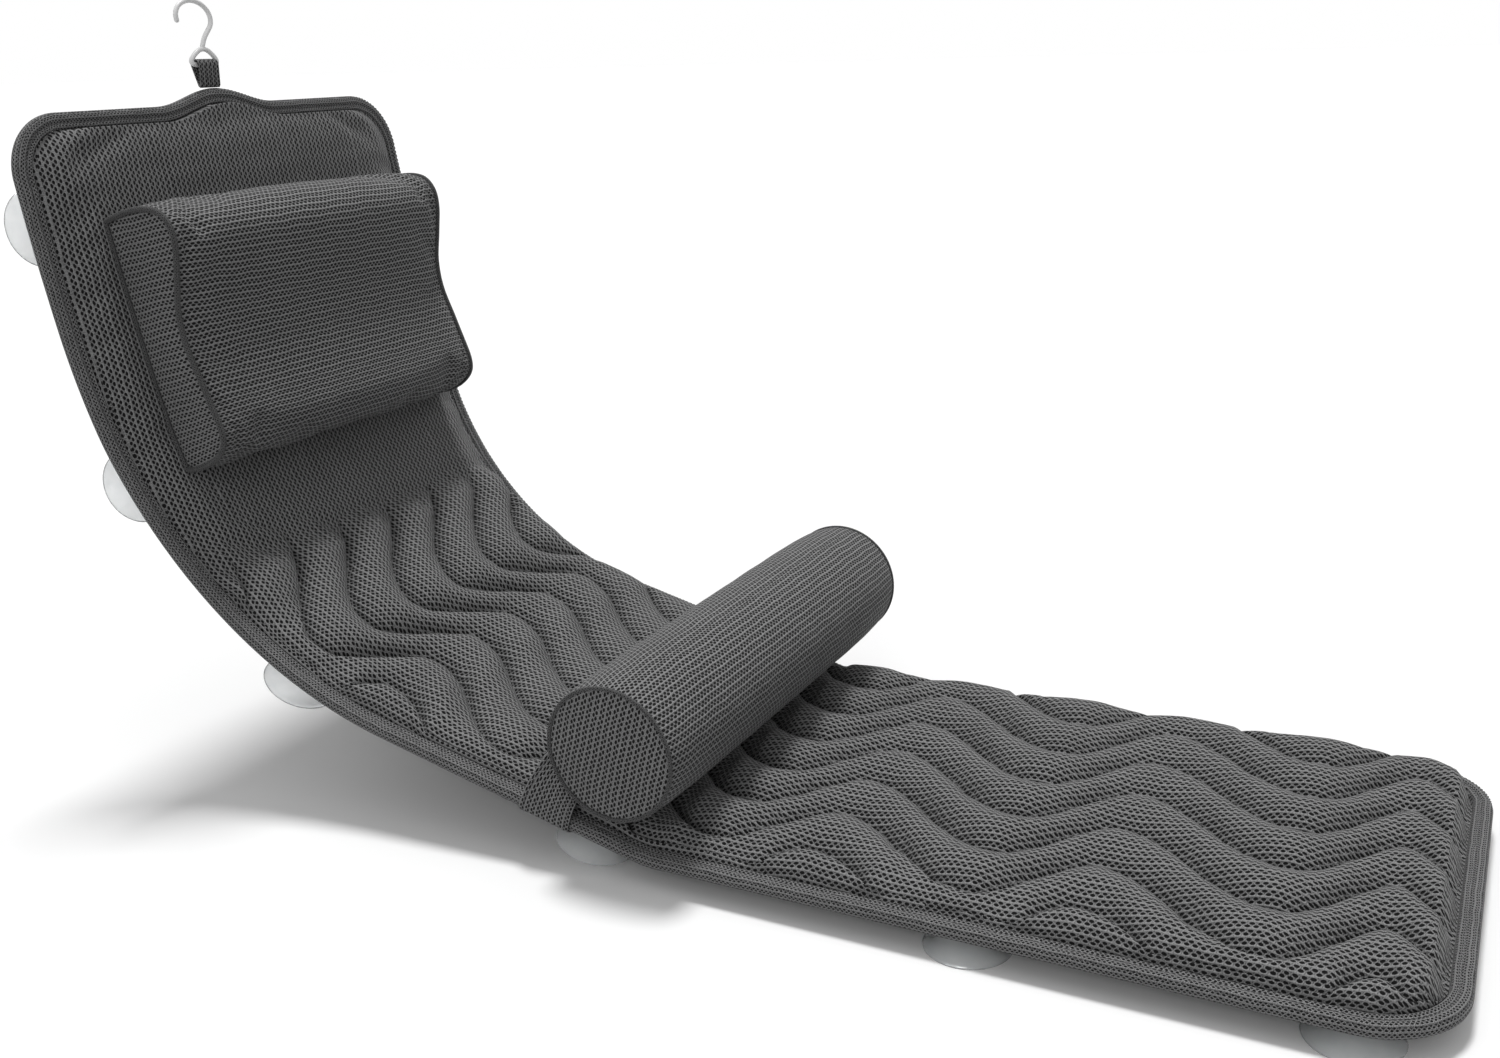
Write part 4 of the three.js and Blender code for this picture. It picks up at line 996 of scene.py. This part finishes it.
def wire(name, points, closed):
    """A round wire along flat (x, up) points of the hook's plane, with round ends when open."""
    before = np.roll(points, 1, 0) if closed else np.vstack([points[:1], points[:-1]])
    after = np.roll(points, -1, 0) if closed else np.vstack([points[1:], points[-1:]])
    along = unit(after - before)
    turn = circle(20)

    def ring(k, radius, ahead=0.0):
        p, a = points[k], along[k]
        return np.stack([p[0] + a[0] * ahead - a[1] * radius * np.cos(turn),
                         p[1] + a[1] * ahead + a[0] * radius * np.cos(turn), radius * np.sin(turn)], -1)

    def dome(k, sign):
        return [ring(k, WIRE_RADIUS * math.sqrt(1 - part ** 2), WIRE_RADIUS * part * sign)
                for part in (0.35, 0.65, 0.88, 0.99)]

    rings = [ring(k, WIRE_RADIUS) for k in range(len(points))]
    rings = np.array(rings if closed else [*dome(0, -1)[::-1], *rings, *dome(-1, 1)])
    # (x, up, out) to (s, n, x) of the head frame
    mapped = head_frame(np.stack([rings[..., 1] + BAR_LEVEL, rings[..., 2], rings[..., 0]], -1))
    return grid_object(name, mapped, lambda i, j: (i * MM, j * MM), material_of("white hook plastic"),
                       capped=not closed)


def build_hook():
    """The open bend on its stem, united with the closed eye below."""
    turns = np.radians(np.linspace(188, -42, 17))
    bend = np.stack([17.6 * np.cos(turns) - 1, 36.1 + 13.1 * np.sin(turns)], -1)
    apex, low = np.array([2.0, 15.0]), bend[-1]
    knots = np.vstack([bend, [[mix(low[0], apex[0], 0.6), mix(low[1], apex[1], 0.5)], apex]])
    padded = np.vstack([2 * knots[:1] - knots[1:2], knots, 2 * knots[-1:] - knots[-2:-1]])
    hook = wire("hook_shank", np.vstack([catmull_rom(padded, 6), knots[-1:]]), False)
    eye = wire("hook_eye", rounded_loop(np.array([apex, [14.2, 4.6], [11.25, 0], [-11.25, 0], [-14.2, 4.6]]), 3), True)
    union = hook.modifiers.new("Union", "BOOLEAN")
    union.operation, union.object, union.solver = "UNION", eye, "EXACT"
    apply_modifiers(hook)
    bpy.data.objects.remove(eye)
    hook.name = hook.data.name = "hanging_hook"
    hook.data.polygons.foreach_set("use_smooth", [True] * len(hook.data.polygons))
    return hook


# Suction cups

def cup_places():
    for row, share in enumerate(CUP_SHARES, 1):
        s = share * MAT_LENGTH
        for side, name in ((-1, "near"), (1, "far")):
            yield f"suction_cup_{name}_{row}", side * (float(half_width(s)) - 23), s, "leg_seat" if row < 4 else "back"


def cup_profile():
    """Radius and height from the head in the eyelet over the neck and bell to the rim and back up inside."""
    outer = [(0, 4.3), (4.6, 4.3), (5.7, 4.0), (6, 3.2), (5.7, 2.1), (4.1, 1.9), (4, 0), (4.1, -1.6), (5.4, -2.7),
             (8.2, -3.2), (10.2, -3.7), (13, -5.2), (17, -8), (21.4, -10.9), (25.2, -12.6), (27.3, -13.2), (28, -13.6),
             (27.8, -14), (26.4, -13.95)]
    inner = [(25.4, -13.7), (23, -12.6), (19.4, -10.8), (15, -8), (11, -6.1), (7, -5.2), (3, -4.9), (0, -4.9)]
    return np.array([*outer, *inner])


def build_cup(name, x, s):
    profile = cup_profile()
    turn = circle(56)
    start, end = (place(float(x), s + d, 0.0) for d in (-8.7, 8.7))
    along = (end - start) / np.linalg.norm(end - start)
    up = np.array([0, -along[2], along[1]])
    middle = (start + end) / 2
    ring = profile[1:-1]
    points = middle + MM * (ring[:, None, 0:1] * (np.cos(turn)[None, :, None] * np.array([1.0, 0, 0])
                                                  + np.sin(turn)[None, :, None] * along)
                            + ring[:, None, 1:2] * up)
    rows, cols = points.shape[:2]
    poles = [middle + MM * profile[end, 1] * up for end in (0, -1)]
    base = (rows - 1) * cols
    faces = grid_faces(rows, cols, close_cols=True)[0].tolist()
    faces.extend([j, (j + 1) % cols, rows * cols] for j in range(cols))
    faces.extend([base + (j + 1) % cols, base + j, rows * cols + 1] for j in range(cols))
    return closed_mesh(name, np.concatenate([points.reshape(-1, 3), poles]), faces, None,
                       material_of("clear soft plastic"))


# Stage

SENSOR_WIDTH, PHOTO_WIDTH, FOCAL_PIXELS = 36, 1500, 1550.924
CAMERA_FRAME = (
    (0.45094931, -0.89212657, -0.02747558), (0.27448735, 0.10932409, 0.95535592),
    (-0.84929466, -0.43835879, 0.29417708), (-0.94614, -0.47825, 0.52421),
)


def build_camera():
    """The photo's camera, as fitted to its outline: focal length in pixels, then right, up, back and place."""
    data = bpy.data.cameras.new("photo_camera")
    data.sensor_fit, data.sensor_width = "HORIZONTAL", SENSOR_WIDTH
    data.lens = FOCAL_PIXELS * SENSOR_WIDTH / PHOTO_WIDTH
    data.clip_start, data.clip_end = 0.02, 200
    camera = new_object("photo_camera", data)
    camera.matrix_world = Matrix([*zip(*CAMERA_FRAME), (0, 0, 0, 1)])
    bpy.context.scene.camera = camera


def build_floor():
    """A plain floor, pale to the camera and greyer for the light that it throws back up."""
    material, net, shader = start_material("pale floor")
    tone = net.spread(net.seen(), 0, 1, 0.5, 0.965)
    net.put(shader, {"Base Color": net.node("ShaderNodeCombineColor", {0: tone, 1: tone, 2: tone}),
                     "Roughness": 0.9, "Specular IOR Level": 0.0})
    size = 60
    points = [(-size, -size, 0), (size, -size, 0), (size, size, 0), (-size, size, 0)]
    new_mesh("floor", points, [[0, 1, 2, 3]], material=material)


def build_lights():
    """A white surround for the camera, a soft sky that is stronger overhead, and two wide suns."""
    finish = bpy.context.scene.bath_cushion_finish
    world = bpy.data.worlds.new("studio")
    bpy.context.scene.world = world
    world.use_nodes = True
    net = Net(world.node_tree)
    up = net.node("ShaderNodeSeparateXYZ", {0: net.node("ShaderNodeTexCoord", out=0)}, out=2)
    sky = net.math("MULTIPLY", net.spread(up, -0.2, 1.0, 0.22, 1.4), finish.fill_light)
    strength = net.node("ShaderNodeMix", {0: net.seen(), 2: sky, 3: 1.0})
    net.put(world.node_tree.nodes["Background"], {"Strength": strength, "Color": (1, 1, 1, 1)})
    for name, turn_x, turn_y, energy, angle in (("key_light", -6, 12, finish.key_light, 14),
                                                ("side_light", 12, -66, finish.key_light * 0.3, 40)):
        data = bpy.data.lights.new(name, "SUN")
        data.energy, data.angle = energy, math.radians(angle)
        new_object(name, data).rotation_euler = (math.radians(turn_x), math.radians(turn_y), 0)


# Properties

def length(name, description, default, low=0.0):
    return FloatProperty(name=name, description=description, default=default, min=low, unit="LENGTH")


def factor(name, description, default):
    return FloatProperty(name=name, description=description, default=default, min=0, max=1, subtype="FACTOR")


def colour(name, description, default):
    return FloatVectorProperty(name=name, description=description, default=default, size=3, min=0, max=1,
                               subtype="COLOR")


class BathCushionMat(PropertyGroup):
    channel_pitch: length("Channel pitch", "Width of one quilted channel", 0.052, 0.02)
    wave_length: length("Wave length", "Length of one wave of the seams", 0.1726, 0.05)
    wave_reach: length("Wave reach", "How far the seams swing to each side", 0.029)
    quilt_crest: length("Quilt crest", "Height of the puffs over the underside", 0.0285, 0.01)
    swell_cap: length("Swell cap", "How far the filling may push a cover out", 0.003)
    stitch_pitch: length("Stitch pitch", "Distance between seam stitches", 0.0042, 0.001)


class BathCushionPillows(PropertyGroup):
    bolster_radius: length("Bolster radius", "Radius of the bolster", 0.0498, 0.02)
    bolster_length: length("Bolster length", "Length of the bolster", 0.379, 0.1)
    bolster_fill: factor("Bolster fill", "How tight the bolster is filled", 0.85)
    headrest_fill: factor("Headrest fill", "How tight the headrest is filled", 0.75)


class BathCushionFinish(PropertyGroup):
    cloth_colour: colour("Cloth", "Colour of the air mesh between its ribs", (0.038, 0.038, 0.039))
    # the strand colour is partly the knit's lighter strands and partly a painted highlight on the rib crests
    strand_and_highlight_colour: colour("Strands", "Colour of the mesh's raised strands, with their painted highlight", (0.285, 0.285, 0.287))
    # the eyelet colour is painted shade in the holes
    eyelet_shade_colour: colour("Eyelets", "Painted shade inside the mesh's eyelets", (0.002, 0.002, 0.0021))
    hook_colour: colour("Hook", "Colour of the hook's plastic", (0.82, 0.82, 0.82))
    key_light: FloatProperty(name="Key light", description="Strength of the main light", default=2.0, min=0)
    fill_light: FloatProperty(name="Fill light", description="Strength of the light from all round", default=0.4,
                              min=0)


# Operators

def stand_in(obj, slot, *nodes, body=None):
    """Hides the nodes that a piece replaces and lets it ride on a body, or else bakes its place into its points; the
    slot is not used.
    """
    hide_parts(*nodes)
    if body:
        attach(obj, body)
    else:
        bend_at_hip(obj)


def stand_in_pillow(cover, trim, name, body, fill):
    stand_in(cover, "pillow_fabric", f"{name}_cover", f"{name}_core", body=body)
    for node, piece in trim.items():
        stand_in(piece, "piping" if "piping" in node else "pillow_fabric", node, body=body)


class BATHCUSHION_OT_mat(Operator):
    """Build the wave-quilted mat with its backing and seam stitches"""
    bl_idname = "bath_cushion.mat"
    bl_label = "Quilted Mat"

    def execute(self, context):
        mat, held = build_mat()
        swell(mat, held, *MAT_SWELL)
        zones = ("leg", "hip", "back")
        stand_in(mat, "mesh_fabric", *[f"mat_{zone}_{layer}" for zone in zones for layer in ("quilt", "core")])
        stand_in(build_backing(), "mesh_fabric", *[f"mat_{zone}_backing" for zone in zones])
        pitch = context.scene.bath_cushion_mat.stitch_pitch / MM
        bend_at_hip(stitches("seam_threads", seam_lines(SEAM_LIFT), pitch, *SEAM_THREAD))
        return {"FINISHED"}


class BATHCUSHION_OT_binding(Operator):
    """Build the double-ridged binding round the mat's edge, with its stitches"""
    bl_idname = "bath_cushion.binding"
    bl_label = "Edge Binding"

    def execute(self, context):
        tape, path = build_binding()
        stand_in(tape, "binding_tape", "mat_leg_binding", "mat_hip_binding_near", "mat_hip_binding_far",
                 "mat_back_binding")
        bend_at_hip(stitches("binding_threads", binding_lines(path), *BINDING_STITCH))
        return {"FINISHED"}


class BATHCUSHION_OT_headrest(Operator):
    """Build the contoured headrest with its end panels and piping"""
    bl_idname = "bath_cushion.headrest"
    bl_label = "Headrest"

    def execute(self, context):
        cover = stuffed("headrest_pillow", *headrest_cover(), *HEADREST_SWELL)
        fill = context.scene.bath_cushion_pillows.headrest_fill
        stand_in_pillow(cover, headrest_trim(), "headrest", "back", fill)
        return {"FINISHED"}


class BATHCUSHION_OT_bolster(Operator):
    """Build the round bolster with its end panels and piping"""
    bl_idname = "bath_cushion.bolster"
    bl_label = "Bolster"

    def execute(self, context):
        cover = stuffed("bolster_pillow", *bolster_cover(), *BOLSTER_SWELL)
        fill = context.scene.bath_cushion_pillows.bolster_fill
        stand_in_pillow(cover, bolster_trim(), "bolster", "bolster", fill)
        return {"FINISHED"}


class BATHCUSHION_OT_strap(Operator):
    """Build the strap that holds the bolster to the mat"""
    bl_idname = "bath_cushion.strap"
    bl_label = "Bolster Strap"

    def execute(self, context):
        web, lines = build_strap()
        stand_in(web, "webbing", "bolster_strap", body="bolster")
        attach(stitches("strap_threads", lines, *STRAP_STITCH), "bolster")
        return {"FINISHED"}


class BATHCUSHION_OT_hanger(Operator):
    """Build the hanging loop and the hook in it"""
    bl_idname = "bath_cushion.hanger"
    bl_label = "Loop and Hook"

    def execute(self, context):
        stand_in(build_loop(), "webbing", "hanging_loop", body="loop")
        stand_in(build_hook(), "hook_plastic", "hook", body="hook")
        return {"FINISHED"}


class BATHCUSHION_OT_cups(Operator):
    """Build the clear suction cups"""
    bl_idname = "bath_cushion.cups"
    bl_label = "Suction Cups"

    def execute(self, context):
        for node, x, s, body in cup_places():
            stand_in(build_cup(f"{node}_bell", x, s), "cup_plastic", node, body=body)
        return {"FINISHED"}


class BATHCUSHION_OT_stage(Operator):
    """Set up the floor, the lights and the camera"""
    bl_idname = "bath_cushion.stage"
    bl_label = "Stage"

    def execute(self, context):
        build_camera()
        build_floor()
        build_lights()
        context.scene.view_settings.view_transform = "Standard"
        return {"FINISHED"}


class BATHCUSHION_PT_panel(Panel):
    """Sizes, finishes and building steps of the bath cushion"""
    bl_idname = "BATHCUSHION_PT_panel"
    bl_label = "Bath Cushion"
    bl_space_type = "VIEW_3D"
    bl_region_type = "UI"
    bl_category = "Bath Cushion"

    def draw(self, context):
        for title, group in (("Mat", "bath_cushion_mat"), ("Pillows", "bath_cushion_pillows"),
                             ("Finish", "bath_cushion_finish")):
            box = self.layout.box()
            box.label(text=title)
            settings = getattr(context.scene, group)
            for name in type(settings).__annotations__:
                box.prop(settings, name)
        for operator in OPERATORS:
            self.layout.operator(operator.bl_idname)


GROUPS = {"bath_cushion_mat": BathCushionMat, "bath_cushion_pillows": BathCushionPillows,
          "bath_cushion_finish": BathCushionFinish}
OPERATORS = (
    BATHCUSHION_OT_stage, BATHCUSHION_OT_mat, BATHCUSHION_OT_binding, BATHCUSHION_OT_headrest,
    BATHCUSHION_OT_bolster, BATHCUSHION_OT_strap, BATHCUSHION_OT_hanger, BATHCUSHION_OT_cups,
)
CLASSES = (*GROUPS.values(), *OPERATORS, BATHCUSHION_PT_panel)


def register():
    for cls in CLASSES:
        bpy.utils.register_class(cls)
    for name, group in GROUPS.items():
        setattr(bpy.types.Scene, name, PointerProperty(type=group))


def unregister():
    for name in GROUPS:
        delattr(bpy.types.Scene, name)
    for cls in reversed(CLASSES):
        bpy.utils.unregister_class(cls)


def main():
    register()
    for operator in OPERATORS:
        category, step = operator.bl_idname.split(".")
        getattr(getattr(bpy.ops, category), step)()


if __name__ == "__main__":
    main()
